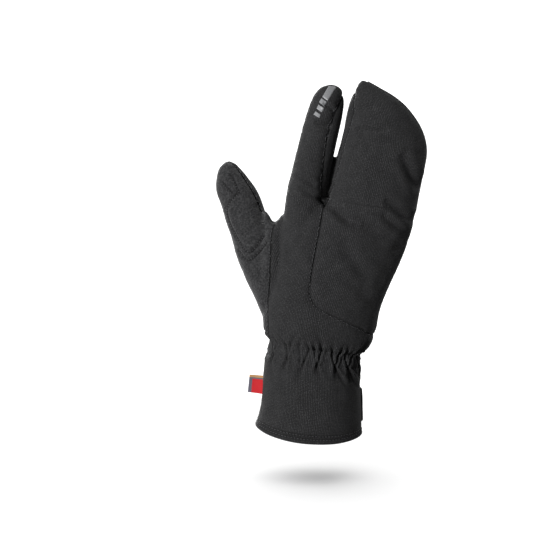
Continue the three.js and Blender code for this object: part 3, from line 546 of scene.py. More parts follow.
# the thumb's back is pieced: a cap over the tip and a pointed piece below it, sewn on with open stitches. Where
# each row runs is given across and up the palm.
thumb_seams = [rounded(np.array(row) * hand, 2) for row in (
    [(-0.81, 1.042), (-0.762, 0.99), (-0.723, 0.938)],
    [(-0.868, 0.991), (-0.78, 0.93)],
    [(-0.735, 0.941), (-0.806, 0.855), (-0.8, 0.776), (-0.731, 0.69), (-0.685, 0.64), (-0.622, 0.573),
     (-0.578, 0.562), (-0.539, 0.606), (-0.49, 0.69)],
    [(-0.655, 0.56), (-0.585, 0.5), (-0.52, 0.56), (-0.465, 0.655)])]
thumb_a, thumb_b, thumb_v = thumb_coords(P)
from_thumb_row = np.where((u < -0.36 * hand_width) & (thumb_b < 2), np.min(
    [np.abs(from_line(row, u, v, closed=False)) for row in thumb_seams], axis=0), far)
move_out -= 0.75 * bell(from_thumb_row, 0.9)
move_out += 0.35 * bell(from_thumb_row - 2.4, 1.5) * (1 + soft_noise(P, 2.6, 10))


def walked_along(points):
    return np.concatenate([[0], np.cumsum(np.linalg.norm(np.diff(points, axis=0), axis=1))])


# the gather: how far round the wrist a point is, in mm, from the thumb's side over the back
turn = np.arctan2(power(deep_share, boxy / 2), power(across_share, boxy / 2))
angles = np.linspace(-math.pi, math.pi, 721)
walked = walked_along(ring((0, 0, wrist_width / 2, wrist_depth / 2, wrist_depth / 2), angles))
girth = walked[-1]
round_wrist = np.interp(turn, angles, walked)
pleats, band_top, band_foot, rng = 32, 1.5, -9.5, np.random.default_rng(11)
above, below = np.maximum(v - band_top, 0), np.maximum(band_foot - v, 0)
in_band = np.clip((v - band_foot) / (band_top - band_foot), 0, 1)
gather, pleat_shade, in_reach = np.zeros(len(P)), np.zeros(len(P)), (v > -50) & (v < 34)
for k in range(pleats):
    at = (k + rng.uniform(-0.25, 0.25)) * girth / pleats
    # the folds are deepest on the little finger's side of the back, where the strap draws the cuff tight
    outward = max(math.cos((at / girth - 0.41) * 2 * math.pi), 0) ** 2
    up_reach, down_reach = rng.uniform(3, 11), rng.uniform(5, 11) + 7 * outward
    lean_up = rng.uniform(-0.5, 0.5)
    lean_down = rng.uniform(-0.2, 0.2) + 0.45 * outward
    deepest = rng.uniform(0.6, 1.1) + 1.1 * outward
    zigzag = rng.uniform(0.18, 0.36) * (1 if k % 2 else -1)
    line = at + zigzag * (v - band_top) * (below == 0) * (above == 0) + lean_up * above
    line = line - (zigzag * (band_top - band_foot) - lean_down * below) * (below > 0)
    off = (round_wrist - line + girth / 2) % girth - girth / 2
    fade = bell(above, up_reach) * bell(below, down_reach)
    wide = 0.85 + 0.11 * (above + below)
    # every valley is pinched at the two stitched lines and opens a little between them
    pinch = 0.7 + 0.3 * np.cos(2 * math.pi * in_band)
    gather -= 1.15 * deepest * pinch * fade * bell(off, wide)
    # painted shade in the valley of each pleat, kept for the cloth's colour
    pleat_shade = np.maximum(pleat_shade, 0.62 * deepest * pinch * fade * bell(off, 0.8 * wide))
    gather += 0.5 * deepest * fade * bell(np.abs(off) - 2.0 * wide, 1.2 * wide)
small = soft_noise(P, 3.2, 8) + 0.6 * soft_noise(P, 1.9, 9)
gather += 0.55 * small * bell(above, 8) * bell(below, 5)
gather += 0.45 * np.sin(math.pi * in_band)
gather -= 0.4 * bell(v - band_top, 0.9) + 0.4 * bell(v - band_foot, 0.9)
gather += 0.6 * bell(v - band_top - 3.5, 2.6) + 0.45 * bell(v - band_foot + 4, 2.8)
move_out += np.where(in_reach, gather, 0)

# the hem is turned up and doubled, so it is a little thicker, and its edge and the slit's are rolled round
hem_rows = (3.3, 5.6)
up = hem_coords(P)
edge = np.abs(edge_line(P))
hem_share = np.clip((hem_height + 0.6 - up) / 1.2, 0, 1)
move_out += 0.45 * hem_share + 0.35 * soft_noise(P, 14.0, 5) * np.clip(1 - up / 30, 0, 1)
move_out -= 0.9 * np.clip(1 - edge / 1.6, 0, 1) ** 2
from_hem_row = np.min([np.abs(up - row) for row in hem_rows], axis=0)
move_out -= 0.8 * bell(from_hem_row, 0.8)
# painted shade: the cloth is darkened along each seam, in the thumb's and the hem's stitched rows, and in the
# pleat valleys of the gather, where shade falls
seam_shade = np.max([bell(from_seam, 0.75), 0.8 * bell(from_thumb_row, 0.7), bell(from_hem_row, 0.75),
                    np.where(in_reach, np.minimum(pleat_shade, 0.9), 0)], axis=0)
outer = P + normal * move_out[:, None]
wall = 2.6 + 0.5 * hem_share - 0.8 * np.clip(1 - edge / 1.4, 0, 1) ** 2
inner = outer - normal * wall[:, None]


def sag_at(up):
    # the doubled hem's weight lets the cuff's edge down
    return 2.8 * bell(up, 18)


for side in (outer, inner):
    side[:, 2] -= sag_at(up)

# the cloth's own grain, in mm: across and up each panel as it lay flat
finger_u, finger_deep = middle.copy(), deep.copy()
for rows, side in ((index_rows, -1), (pouch_rows, 1)):
    fine = through(rows, 8)
    there = (v > palm_length) & ((u + 0.045 * hand_width) * side > 0)
    for field, column in ((finger_u, 1), (finger_deep, 3)):
        field[there] = np.interp(v[there], fine[:, 0], fine[:, column])
side_share = np.clip((P[:, 1] - curl(v)) / np.maximum(finger_deep, 1), -1, 1)
flat_u = u - finger_u + np.sign(u - finger_u) * finger_deep * (1 - np.abs(side_share))
grain = np.stack([flat_u, v, np.zeros(len(P))], 1)
of_thumb = np.unique(F[zone == 4])
thumb_grain = np.stack([thumb_a + np.sign(thumb_a) * (16 - np.abs(thumb_b)), thumb_v, np.zeros(len(P))], 1)
grain[of_thumb] = thumb_grain[of_thumb]


# Softshell panels. The back, the pouch over the outer fingers, the side wall between index finger and pouch and
# the palm side of the cuff are cut from one padded softshell: a matt woven face with a fine upright rib, bonded
# to a fleece lining. They are sewn edge to edge.
def linear(hex_colour):
    parts = [int(hex_colour[i:i + 2], 16) / 255 for i in (0, 2, 4)]
    return [c / 12.92 if c <= 0.04045 else ((c + 0.055) / 1.055) ** 2.4 for c in parts] + [1.0]


def add(tree, kind, inputs=(), **settings):
    # an input, named or in order, is a number, a hex colour, or the socket or node that feeds it
    node = tree.nodes.new("ShaderNode" + kind)
    for key, value in settings.items():
        setattr(node, key, value)
    for key, value in inputs.items() if isinstance(inputs, dict) else enumerate(inputs):
        if isinstance(value, bpy.types.Node):
            value = value.outputs[0]
        if isinstance(value, bpy.types.NodeSocket):
            tree.links.new(value, node.inputs[key])
        else:
            node.inputs[key].default_value = linear(value) if isinstance(value, str) else value
    return node


def new_material(name):
    material = bpy.data.materials.new(name)
    material.use_nodes = True
    material.node_tree.nodes.clear()
    return material, material.node_tree


def finish_material(tree, colour, height, depth_mm, roughness, sheen, specular, sheen_roughness=0.5):
    bump = add(tree, "Bump", {"Height": height, "Strength": 1.0, "Distance": depth_mm * MM})
    shader = add(tree, "BsdfPrincipled", {
        "Base Color": colour, "Normal": bump, "Roughness": roughness, "Sheen Weight": sheen,
        "Sheen Roughness": sheen_roughness, "Specular IOR Level": specular})
    add(tree, "OutputMaterial", {"Surface": shader})


def threads(tree, vector, *rows):
    # rows of thread as soft bands: the way they follow each other, their spacing in mm and how wavy they are.
    # The texture makes one band every 2 pi / (20 x scale).
    return [add(tree, "TexWave", {"Vector": vector, "Scale": 2 * math.pi / 20 / spacing, "Distortion": wavy,
                                  "Detail": 1.0, "Detail Scale": 2.0}, bands_direction=way).outputs["Fac"]
            for way, spacing, wavy in rows]


def mottle(tree, vector, size, detail, low, high):
    # soft uneven spots of this size, plain and stretched from low to high
    spots = add(tree, "TexNoise", {"Vector": vector, "Scale": 1 / size, "Detail": detail})
    return spots, add(tree, "MapRange", (spots, low, high))


def painted(tree, ground, *coats):
    # each coat is the pattern that it follows, how strongly it covers what is under it, and its colour
    for pattern, strength, colour in coats:
        cover = add(tree, "Math", (pattern, strength), operation="MULTIPLY")
        ground = add(tree, "Mix", {0: cover, 6: ground, 7: colour}, data_type="RGBA").outputs[2]
    return ground


# the rib is 0.7 mm apart on the real cloth and is drawn over twice as wide, which is the least that shows here
softshell, tree = new_material("woven_softshell")
cloth = add(tree, "Attribute", attribute_name="grain").outputs["Vector"]
# painted shade, dark along seams, stitched rows and pleat valleys, laid on as the last coat
painted_seam_shade = add(tree, "Attribute", attribute_name="seam_shade").outputs["Fac"]
ribs, picks = threads(tree, cloth, ("X", 1.45, 2.6), ("Y", 1.1, 2.2))
weave = add(tree, "MapRange", (add(tree, "Math", (ribs, picks), operation="MULTIPLY"), 0.1, 0.8))
_, worn = mottle(tree, cloth, 9.0, 3.0, 0.35, 0.65)
_, flecks = mottle(tree, cloth, 1.0, 2.0, 0.45, 0.75)
_, patches = mottle(tree, cloth, 26.0, 3.0, 0.3, 0.7)
worn = add(tree, "Math", (worn, 0.45, 0.35), operation="MULTIPLY_ADD")
shade = painted(tree, "131314", (patches, 1.0, "1a1a1b"),
                (add(tree, "Math", (weave, worn), operation="MULTIPLY"), 1.0, "404041"),
                (add(tree, "Math", (flecks, ribs), operation="MULTIPLY"), 0.6, "565657"),
                (painted_seam_shade, 0.85, "060606"))
height = add(tree, "Math", (picks, 0.4, add(tree, "Math", (ribs, 0.7), operation="MULTIPLY")),
             operation="MULTIPLY_ADD")
finish_material(tree, shade, height, 0.2, roughness=0.88, sheen=0.08, specular=0.25)

# the lining is a dark brushed fleece, which shows inside the cuff: soft, without a weave
lining, tree = new_material("brushed_fleece_lining")
tufts, pale_tufts = mottle(tree, add(tree, "TexCoord").outputs["Object"], 2.2 * MM, 4.0, 0.3, 0.7)
finish_material(tree, painted(tree, "131314", (pale_tufts, 1.0, "2a2a2b")), tufts, 0.5,
                roughness=1.0, sheen=0.35, specular=0.1, sheen_roughness=0.6)


def rim_of(corner, count):
    # the sides that belong to one face only
    sides = sides_of(corner)
    _, first, times = np.unique(np.sort(sides, 1) @ (count, 1), return_index=True, return_counts=True)
    return sides[first[times == 1]]


def cloth_piece(name, faces, top, bottom, materials, node):
    # a piece of cloth as a closed mesh: its face, its lining side, and the cut edge between them
    used, corner = np.unique(faces, return_inverse=True)
    corner, count = corner.reshape(-1, 4), len(used)
    rim = rim_of(corner, count)
    walls = np.stack([rim[:, 1], rim[:, 0], rim[:, 0] + count, rim[:, 1] + count], 1)
    quads = np.concatenate([corner, corner[:, ::-1] + count, walls])
    points = np.concatenate([top[used], bottom[used]]) * MM
    mesh = bpy.data.meshes.new(name)
    mesh.vertices.add(len(points))
    mesh.vertices.foreach_set("co", points.ravel())
    mesh.loops.add(quads.size)
    mesh.loops.foreach_set("vertex_index", quads.ravel())
    mesh.polygons.add(len(quads))
    mesh.polygons.foreach_set("loop_start", np.arange(len(quads)) * 4)
    mesh.polygons.foreach_set("material_index", np.repeat((0, 1, 0), (len(corner), len(corner), len(walls))))
    mesh.update(calc_edges=True)
    mesh.validate()
    for material in materials:
        mesh.materials.append(material)
    # the cloth's grain, and the painted shade of its seams, stitched rows and pleats, for its materials
    for name_of, kind, key, field in (("grain", "FLOAT_VECTOR", "vector", np.tile(grain[used], (2, 1))),
                                      ("seam_shade", "FLOAT", "value", np.tile(seam_shade[used], 2))):
        mesh.attributes.new(name_of, kind, "POINT").data.foreach_set(key, field.ravel())
    mesh.shade_smooth()
    mesh.set_sharp_from_angle(angle=math.radians(62))
    piece = put_in_scene(name, mesh)
    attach(piece, "root")
    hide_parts(node)
    return piece


for number, node in ((1, "back_panel"), (2, "pouch_panel"), (3, "finger_gusset"), (6, "cuff_palm_panel")):
    cloth_piece(node + "_cloth", F[zone == number], outer, inner, [softshell, lining], node)

# Hem. The cuff's lower edge is turned up inside and held by two rows of stitches, so it is the same softshell,
# a little thicker, with a rolled edge that runs on round the slit.
cloth_piece("hem_binding_cloth", F[zone == 7], outer, inner, [softshell, lining], "hem_binding")

# Thumb. Its back and outer side are a brushed stretch cloth with a short soft nap, for wiping the face. The nap
# scatters light, so it looks paler and has no weave.
brushed, tree = new_material("brushed_stretch_cloth")
place = add(tree, "TexCoord").outputs["Object"]
# painted shade, dark along seams and stitched rows, laid on as the last coat
painted_seam_shade = add(tree, "Attribute", attribute_name="seam_shade").outputs["Fac"]
nap, pale_nap = mottle(tree, place, 1.3 * MM, 3.0, 0.4, 0.7)
_, rubbed = mottle(tree, place, 11 * MM, 3.0, 0.3, 0.7)
shade = painted(tree, "222223", (rubbed, 1.0, "2a2a2b"), (pale_nap, 0.6, "4c4c4d"),
                (painted_seam_shade, 0.85, "0b0b0b"))
finish_material(tree, shade, nap, 0.6, roughness=1.0, sheen=0.35, specular=0.1, sheen_roughness=0.45)
cloth_piece("thumb_panel_cloth", F[zone == 4], outer, inner, [brushed, lining], "thumb_panel")

# Palm. The palm of the hand, fingers and thumb is one panel of synthetic suede: smooth, with a fine even nap,
# and a little darker where it is stroked.
suede, tree = new_material("synthetic_suede")
place = add(tree, "TexCoord").outputs["Object"]
# painted shade, dark along seams and stitched rows, laid on as the last coat
painted_seam_shade = add(tree, "Attribute", attribute_name="seam_shade").outputs["Fac"]
nap, pale_nap = mottle(tree, place, 0.9 * MM, 4.0, 0.4, 0.7)
_, stroked = mottle(tree, place, 16 * MM, 2.0, 0.35, 0.65)
shade = painted(tree, "1a1a1b", (stroked, 1.0, "202021"), (pale_nap, 0.35, "303032"),
                (painted_seam_shade, 0.85, "070707"))
finish_material(tree, shade, nap, 0.12, roughness=0.8, sheen=0.25, specular=0.3, sheen_roughness=0.4)
cloth_piece("palm_panel_cloth", F[zone == 5], outer, inner, [suede, lining], "palm_panel")


# Pad at the heel of the palm. A shaped piece of foam under its own piece of the suede, sewn down all round with
# two rows of stitches and one across them, so it stands up with a soft crown and falls to its outline.
def layer_piece(name, line, region, bottom, top_of, materials, node, rounds=1):
    # a layer is cut from the same skin, so that it lies on the cloth under it
    faces = F[(line(P[F].mean(1)) < 0) & region[F].all(1)]
    used, corner = np.unique(faces, return_inverse=True)
    rims = used[np.unique(rim_of(corner.reshape(-1, 4), len(used)))]
    points = snap(P.copy(), rims, line)
    inside_it = np.zeros((len(P), 1), bool)
    inside_it[used] = True
    inside_it[rims] = False
    for _ in range(4):
        points = points + np.where(inside_it, 0.5 * in_surface(neighbours_mean(points) - points, normal), 0)
    inward = np.zeros(len(P))
    inward[used] = -line(points[used])
    piece = cloth_piece(name, faces, points + (normal.T * top_of(inward)).T, points + (normal.T * bottom).T,
                        materials, node)
    if rounds:
        smooth = piece.modifiers.new("smooth", "SUBSURF")
        smooth.levels = smooth.render_levels = rounds
        graph = bpy.context.evaluated_depsgraph_get()
        finer = bpy.data.meshes.new_from_object(piece.evaluated_get(graph))
        piece.modifiers.clear()
        piece.data = finer
        finer.name = name
    return piece


def rounded_edge(inward, over, height):
    return height * np.sqrt(1 - (1 - np.clip(inward / over, 0, 1)) ** 2)


pad_outline = rounded(np.array([
    (0.186, 0.695), (0.087, 0.671), (0.006, 0.598), (-0.071, 0.494), (-0.134, 0.384), (-0.158, 0.31),
    (-0.137, 0.256), (-0.065, 0.232), (0.07, 0.226), (0.188, 0.241), (0.248, 0.283), (0.287, 0.369),
    (0.312, 0.452), (0.336, 0.551), (0.303, 0.647), (0.24, 0.693), (0.186, 0.695)]) * hand, 1)[:-1]


def pad_line(q):
    return from_line(pad_outline, *hand_coords(q))


def pad_top(inward):
    crown = 1 - bell(np.maximum(inward - 3, 0), 11.0)
    rows = bell(inward - 2.0, 0.75) + bell(inward - 4.2, 0.75)
    return move_out + rounded_edge(inward, 1.3, 0.9) + 1.5 * crown - 0.35 * rows


palm_side = (deep_share > 0) & (v < palm_length) & (v > 0)
pad = layer_piece("palm_pad_foam", pad_line, palm_side, move_out - 0.4, pad_top, [suede, suede], "palm_pad")

# Vent. Behind the slit on the little finger's side a tongue of thin stretch knit closes the cuff. It is sewn to
# the inside of the wall, so it lies a wall's thickness back.
stretch, tree = new_material("ribbed_stretch_knit")
cloth = add(tree, "Attribute", attribute_name="grain").outputs["Vector"]
courses, wales = threads(tree, cloth, ("Y", 1.2, 0.6), ("X", 1.6, 0.4))
knit = add(tree, "Math", (courses, wales), operation="MULTIPLY")
finish_material(tree, painted(tree, "121213", (knit, 1.0, "2b2b2c")), knit, 0.15,
                roughness=0.75, sheen=0.1, specular=0.3)
vent_lap, vent_wall, vent_edge_up, shell_depth = 5.0, 1.2, 1.2, 3.4


def vent_line(q):
    up = hem_coords(q)
    beside = np.abs(q[:, 1] - slit_to_palm) - slit_half_at(up) - vent_lap
    return np.maximum(beside, np.maximum(up - slit_height - vent_lap, vent_edge_up - up))


layer_piece("vent_gusset_knit", vent_line, (P[:, 0] > 0) & (v < 0), -shell_depth - vent_wall,
            lambda inward: -shell_depth, [stretch, stretch], "vent_gusset", 0)

# Strap patch. A strip of looped pile round the palm side of the cuff, sewn flat with one row of stitches, for
# the strap's hooks to hold on to.
looped, tree = new_material("looped_pile")
place = add(tree, "TexCoord").outputs["Object"]
cloth = add(tree, "Attribute", attribute_name="grain").outputs["Vector"]
loops = add(tree, "TexVoronoi", {"Vector": place, "Scale": 1 / (1.1 * MM)}).outputs["Distance"]
hatch = add(tree, "MapRange", (*threads(tree, cloth, ("X", 2.4, 0.5)), 0.55, 0.95))
shade = painted(tree, "1d1d1e", (loops, 1.0, "303031"), (hatch, 0.3, "5e5e60"))
finish_material(tree, shade, add(tree, "Math", (loops, hatch), operation="ADD"), 0.3,
                roughness=0.95, sheen=0.3, specular=0.2)
cuff_lean, patch_thickness, strap_thickness, strap_root = 0.65 * lean, 1.0, 2.0, 5.0
# end towards the thumb, foot, top, round of the corners
strap_shape = (-27.0, -59.0, -31.0, 13.0)
patch_shape = (-38.0, -60.5, -29.5, 6.5)


def cuff_strip(q, end, foot, top, corner):
    # signed distance to a strip with a round end towards the thumb, in the cuff's own leaning coordinates
    across = q[:, 0] / math.cos(cuff_lean)
    up = q[:, 2] + across * math.sin(cuff_lean)
    a = np.maximum(end + corner - across, 0)
    b = np.maximum(np.abs(up - (foot + top) / 2) - (top - foot) / 2 + corner, 0)
    return np.hypot(a, b) - corner


def patch_line(q):
    near_slit = np.where(q[:, 0] > 0, slit_to_palm + 2 * slit_half - q[:, 1], seam_to_palm + 0.4 - q[:, 1])
    return np.maximum(cuff_strip(q, *patch_shape), near_slit)


def strap_line(q):
    return np.maximum(cuff_strip(q, *strap_shape), strap_root - q[:, 1])


# what lies on the cuff bridges its small folds
cuff_side = (P[:, 1] > 0) & (v < 0)
calm = np.maximum(relax(np.maximum(move_out, -0.3)[:, None], 30, 0.5)[:, 0], 0)
patch = layer_piece("loop_patch_pile", patch_line, cuff_side, -0.2,
                    lambda inward: calm + 0.1 + rounded_edge(inward, 0.9, patch_thickness - 0.1)
                    - 0.3 * bell(inward - 1.6, 0.6), [looped, looped], "loop_patch")

# Strap. A double layer of the suede, as long as it needs to go round from the side seam to the patch, with a
# round end, a turned edge and a row of stitches. Its hooks are on its underside.
climb = np.clip((P[:, 1] - strap_root) / 9, 0, 1)
lift = 0.25 + patch_thickness * climb ** 2 * (3 - 2 * climb)
sag = 0.35 * soft_noise(P, 17.0, 6)
strap = layer_piece("wrist_strap_suede", strap_line, cuff_side, calm + lift,
                    lambda inward: calm + lift + sag + 0.3 + rounded_edge(inward, 1.5, strap_thickness - 0.3)
                    - 0.35 * bell(inward - 2.6, 0.7), [suede, looped], "wrist_strap")


# Piping. A corded tape sewn into the pouch's outer seam, so that only its round bead shows. It is black round
# the fingertips and silver-grey reflective tape with fine glass beads further down.
surface = BVHTree.FromPolygons(outer.tolist(), F[zone > 0].tolist())


def on_surface(point, above=0.0):
    place, facing_out, _, _ = surface.find_nearest(Vector(point))
    return np.array(place) + above * np.array(facing_out), np.array(facing_out)


def evenly(points, pitch):
    points = np.asarray(points, float)
    walked = walked_along(points)
    steps = np.linspace(0, walked[-1], max(2, int(round(walked[-1] / pitch)) + 1))
    return np.stack([np.interp(steps, walked, points[:, c]) for c in range(points.shape[1])], 1)


def eased(path, rounds):
    for _ in range(rounds):
        path[1:-1] = (path[:-2] + 2 * path[1:-1] + path[2:]) / 4
    return path


def grey_cloth(name, dark, pale, size_mm, roughness, depth_mm):
    material, tree = new_material(name)
    fine, pale_spots = mottle(tree, add(tree, "TexCoord").outputs["Object"], size_mm * MM, 3.0, 0.3, 0.7)
    finish_material(tree, painted(tree, dark, (pale_spots, 1.0, pale)), fine, depth_mm,
                    roughness=roughness, sheen=0.1, specular=0.4)
    return material


binding = grey_cloth("black_piping_tape", "161617", "2c2c2d", 0.8, 0.6, 0.1)
reflective = grey_cloth("glass_beaded_reflective_tape", "8d8e90", "b4b5b7", 0.7, 0.42, 0.05)


def along_path(path):
    along = np.gradient(path, axis=0)
    return along / np.linalg.norm(along, axis=1, keepdims=True)


def capped_tube(rings, sides):
    last = (rings - 1) * sides
    return tube_faces(rings, sides) + [tuple(range(sides))[::-1], tuple(range(last, last + sides))]


def shaped_piece(name, points, faces, material, slot, node=None):
    piece = put_in_scene(name, make_mesh(name, points, faces))
    piece.data.materials.append(material)
    piece.data.shade_smooth()
    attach(piece, "root")
    if node:
        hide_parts(node)
    return piece


def bead_along(name, path, radius, material, node, slot, sides=12):
    points = []
    for p, t in zip(path, along_path(path)):
        out = on_surface(p)[1]
        out = out - t * (out @ t)
        out /= np.linalg.norm(out)
        side = np.cross(t, out)
        for a in np.arange(sides) * 2 * math.pi / sides:
            points.append(p + radius * (math.cos(a) * side + math.sin(a) * out))
    shaped_piece(name, points, capped_tube(len(path), sides), material, slot, node)


fine_pouch = through(pouch_rows, 8)
fine_pouch = fine_pouch[(fine_pouch[:, 0] > 0.98 * palm_length) & (fine_pouch[:, 2] > 3)][::-1]
route = np.array([on_hand(r[1] + r[2], curl(r[0]) + seam_to_palm, r[0]) for r in fine_pouch])
bead_above, black_down_to = 0.45, 178
route = eased(evenly([on_surface(p, bead_above)[0] for p in evenly(route, 1.2)], 1.2), 40)
change = int(np.argmin(np.abs(route[:, 2] - black_down_to)))
bead_along("edge_piping_bead", route[:change + 1], 1.25, binding, "edge_piping", "binding_tape")
bead_along("reflective_piping_bead", route[change:], 1.3, reflective, "reflective_piping", "reflective_tape")


# Label. A woven tape folded double and caught in the cuff's seam on the thumb's side. It is plain: slate grey,
# with an ochre top edge and a red square.
def cuff_row(level):
    return [np.interp(level, fine_rows[:, 0], fine_rows[:, c]) for c in range(5)]


label_height, label_caught, label_level, label_tilt = 15.0, 2.0, -cuff_length + 29, math.radians(6)
label_row = cuff_row(label_level)
label_root = on_hand(np.array([label_row[1] - label_row[2] + label_caught]), seam_to_palm, label_level)[0]
# the folded tape's edge: out on one side, round the fold, and back on the other, with a slit between the layers
outline = [(0, -0.6), (4, -0.6), (8, -0.58), (12.2, -0.55)]
outline += [(12.4 + 0.6 * math.cos(a), 0.6 * math.sin(a)) for a in np.linspace(-1.3, 1.3, 7)]
outline += [(12.2, 0.55), (8, 0.58), (4, 0.6), (0, 0.6), (0, 0.12), (6, 0.12), (11.9, 0.14), (12.1, 0),
            (11.9, -0.14), (6, -0.12), (0, -0.12)]
levels = np.linspace(-label_height / 2, label_height / 2, 17)
points, colour_places = [], []
for level in levels:
    for reach, side in outline:
        bow = 0.55 * math.sin(reach / 5.0) * (0.6 + 0.4 * math.sin(level / 5 + 1))
        x, z = -reach, level * (1 - 0.004 * reach)
        points.append(label_root + np.array((x * math.cos(label_tilt) + z * math.sin(label_tilt), side + bow,
                                             -x * math.sin(label_tilt) + z * math.cos(label_tilt))))
        colour_places.append((reach, level, 0))
woven_label, tree = new_material("woven_label_tape")
place = add(tree, "Attribute", attribute_name="grain").outputs["Vector"]
apart = add(tree, "SeparateXYZ", (place,))
reach_at, level_at = apart.outputs["X"], apart.outputs["Y"]
square = add(tree, "Math", (add(tree, "Math", (level_at, -1.6, 6.0), operation="COMPARE"),
                            add(tree, "Math", (reach_at, 10.2), operation="LESS_THAN")), operation="MULTIPLY")
top_edge = add(tree, "Math", (level_at, 5.6), operation="GREATER_THAN")
weave = add(tree, "Math", threads(tree, place, ("X", 0.9, 0.0), ("Y", 0.9, 0.0)), operation="MULTIPLY")
shade = painted(tree, "625f6c", (square, 1.0, "c8141f"), (top_edge, 1.0, "b98d5c"), (weave, 0.06, "d8d2d0"))
finish_material(tree, shade, weave, 0.08, roughness=0.7, sheen=0.1, specular=0.3)
label = shaped_piece("side_label_tape", points, capped_tube(len(levels), len(outline)), woven_label,
                     "label_cloth", "side_label")
label.data.attributes.new("grain", "FLOAT_VECTOR", "POINT").data.foreach_set("vector", np.ravel(colour_places))
label.data.set_sharp_from_angle(angle=math.radians(40))


# Stitches. Black polyester thread holds the shell together: a row beside each seam, rows round the pad and the
# hem, one round the strap and its patch, and the rows on the thumb. Each stitch is a short thread that is
# pulled in at its ends.
view_rise, ray_start = math.radians(7.5), 200.0


def seen_from(side, x, z):
    # what a viewer in front of the glove's back (-1) or palm (1) sees at this side and height
    ray = Vector((0, -side * math.cos(view_rise), -math.sin(view_rise)))
    return surface.ray_cast(Vector((x, side * ray_start, z + ray_start * math.tan(view_rise))), ray)[:2]


def hits(found):
    return np.array([place for place, *_ in found if place is not None])


def borders_between(first, second):
    # the edges where two pieces meet, walked into lines
    sides = np.sort(sides_of(F), 1)
    order = np.lexsort(sides.T)
    sides, owner = sides[order], np.tile(zone, 4)[order]
    same = (sides[1:] == sides[:-1]).all(1)
    pair = np.stack([owner[:-1], owner[1:]], 1)[same]
    kept = sides[:-1][same][(np.sort(pair, 1) == sorted((first, second))).all(1)]
    next_to = {}
    for a, b in kept.tolist():
        next_to.setdefault(a, []).append(b)
        next_to.setdefault(b, []).append(a)
    lines = []
    while next_to:
        ends = [k for k in next_to if len(next_to[k]) == 1]
        line = [ends[0] if ends else next(iter(next_to))]
        while next_to.get(line[-1]):
            b = next_to[line[-1]].pop()
            next_to[b].remove(line[-1])
            if not next_to[line[-1]]:
                del next_to[line[-1]]
            line.append(b)
        if not next_to.get(line[-1], True):
            del next_to[line[-1]]
        next_to = {k: n for k, n in next_to.items() if n}
        if len(line) > 8:
            lines.append(evenly(eased(outer[line], 4), 1.0))
    return lines


zone_of_face = zone[zone > 0]


def beside(path, offset, side_zone):
    # a row beside a line, on the side of one piece
    facing_out = np.array([on_surface(p)[1] for p in path])
    aside = np.cross(facing_out, along_path(path))
    votes = [zone_of_face[surface.find_nearest(Vector(p + 2.5 * a))[2]] == side_zone
             for p, a in zip(path, aside)]
    sign = 1 if np.mean(votes) > 0.5 else -1
    return path + sign * offset * aside


stitches, faces_of_a_stitch = [], capped_tube(4, 6)


def stitch_row(path, pitch, length, radius=0.24, turned=False, cloth=surface):
    # turned stitches lie across the row, as an overlock leaves them
    path = evenly(path, pitch)
    if len(path) < 3:
        return
    for p, t in zip(path[1:-1], along_path(path)[1:-1]):
        place, out = (np.array(part) for part in cloth.find_nearest(Vector(p))[:2])
        if np.linalg.norm(place - p) > 4:
            continue
        place += 0.5 * radius * out
        side = np.cross(out, t)
        side /= np.linalg.norm(side) + 1e-9
        run, width = (side, t) if turned else (t, side)
        points = []
        for share, size in ((-0.5, 0.45), (-0.3, 1.0), (0.3, 1.0), (0.5, 0.45)):
            dip = 0.9 * (1 - size) * radius
            for a in np.arange(6) * math.pi / 3:
                points.append(place + run * share * length - dip * out
                              + radius * size * (math.cos(a) * width + math.sin(a) * out))
        stitches.append((points, faces_of_a_stitch))


# seam between two pieces, the side that the row lies on, distance from the seam, stitch pitch
for first, second, side_zone, offset, pitch in ((1, 2, 1, 1.6, 3.0), (1, 3, 1, 1.5, 3.0), (2, 3, 2, 1.5, 3.0),
                                                (1, 4, 4, 1.6, 3.0), (4, 5, 5, 1.5, 3.0), (5, 6, 5, 1.6, 3.0)):
    for path in borders_between(first, second):
        stitch_row(beside(path, offset, side_zone), pitch, 2.1)

# rows round the hem and the rows on the thumb
for row_up in hem_rows:
    for angle in (np.linspace(-math.pi + 0.02, -0.02, 150), np.linspace(0.8, math.pi - 0.02, 130)):
        stitch_row(ring(cuff_row(row_up - cuff_length), angle) - (0, 0, sag_at(row_up)), 2.6, 1.8)
for row in thumb_seams:
    row = evenly(row, 1.0)
    flat = on_hand(row[:, 0], np.zeros(len(row)), row[:, 1])
    stitch_row(hits(seen_from(-1, x, z) for x, _, z in flat), 2.2, 1.3, 0.26, turned=True)
pad_skin, strap_skin, patch_skin = (
    BVHTree.FromPolygons([tuple(vertex.co / MM) for vertex in piece.data.vertices],
                         [tuple(face.vertices) for face in piece.data.polygons])
    for piece in (pad, strap, patch))


def inset(outline, by):
    outline = np.array(outline, float)
    run = np.roll(outline, -1, 0) - np.roll(outline, 1, 0)
    run /= np.linalg.norm(run, axis=1, keepdims=True)
    return outline + by * np.stack([-run[:, 1], run[:, 0]], 1)


def palm_side_row(skin, places):
    # the places are side and height in mm
    return hits(skin.ray_cast(Vector((x, ray_start, z)), Vector((0, -1, 0))) for x, z in places)


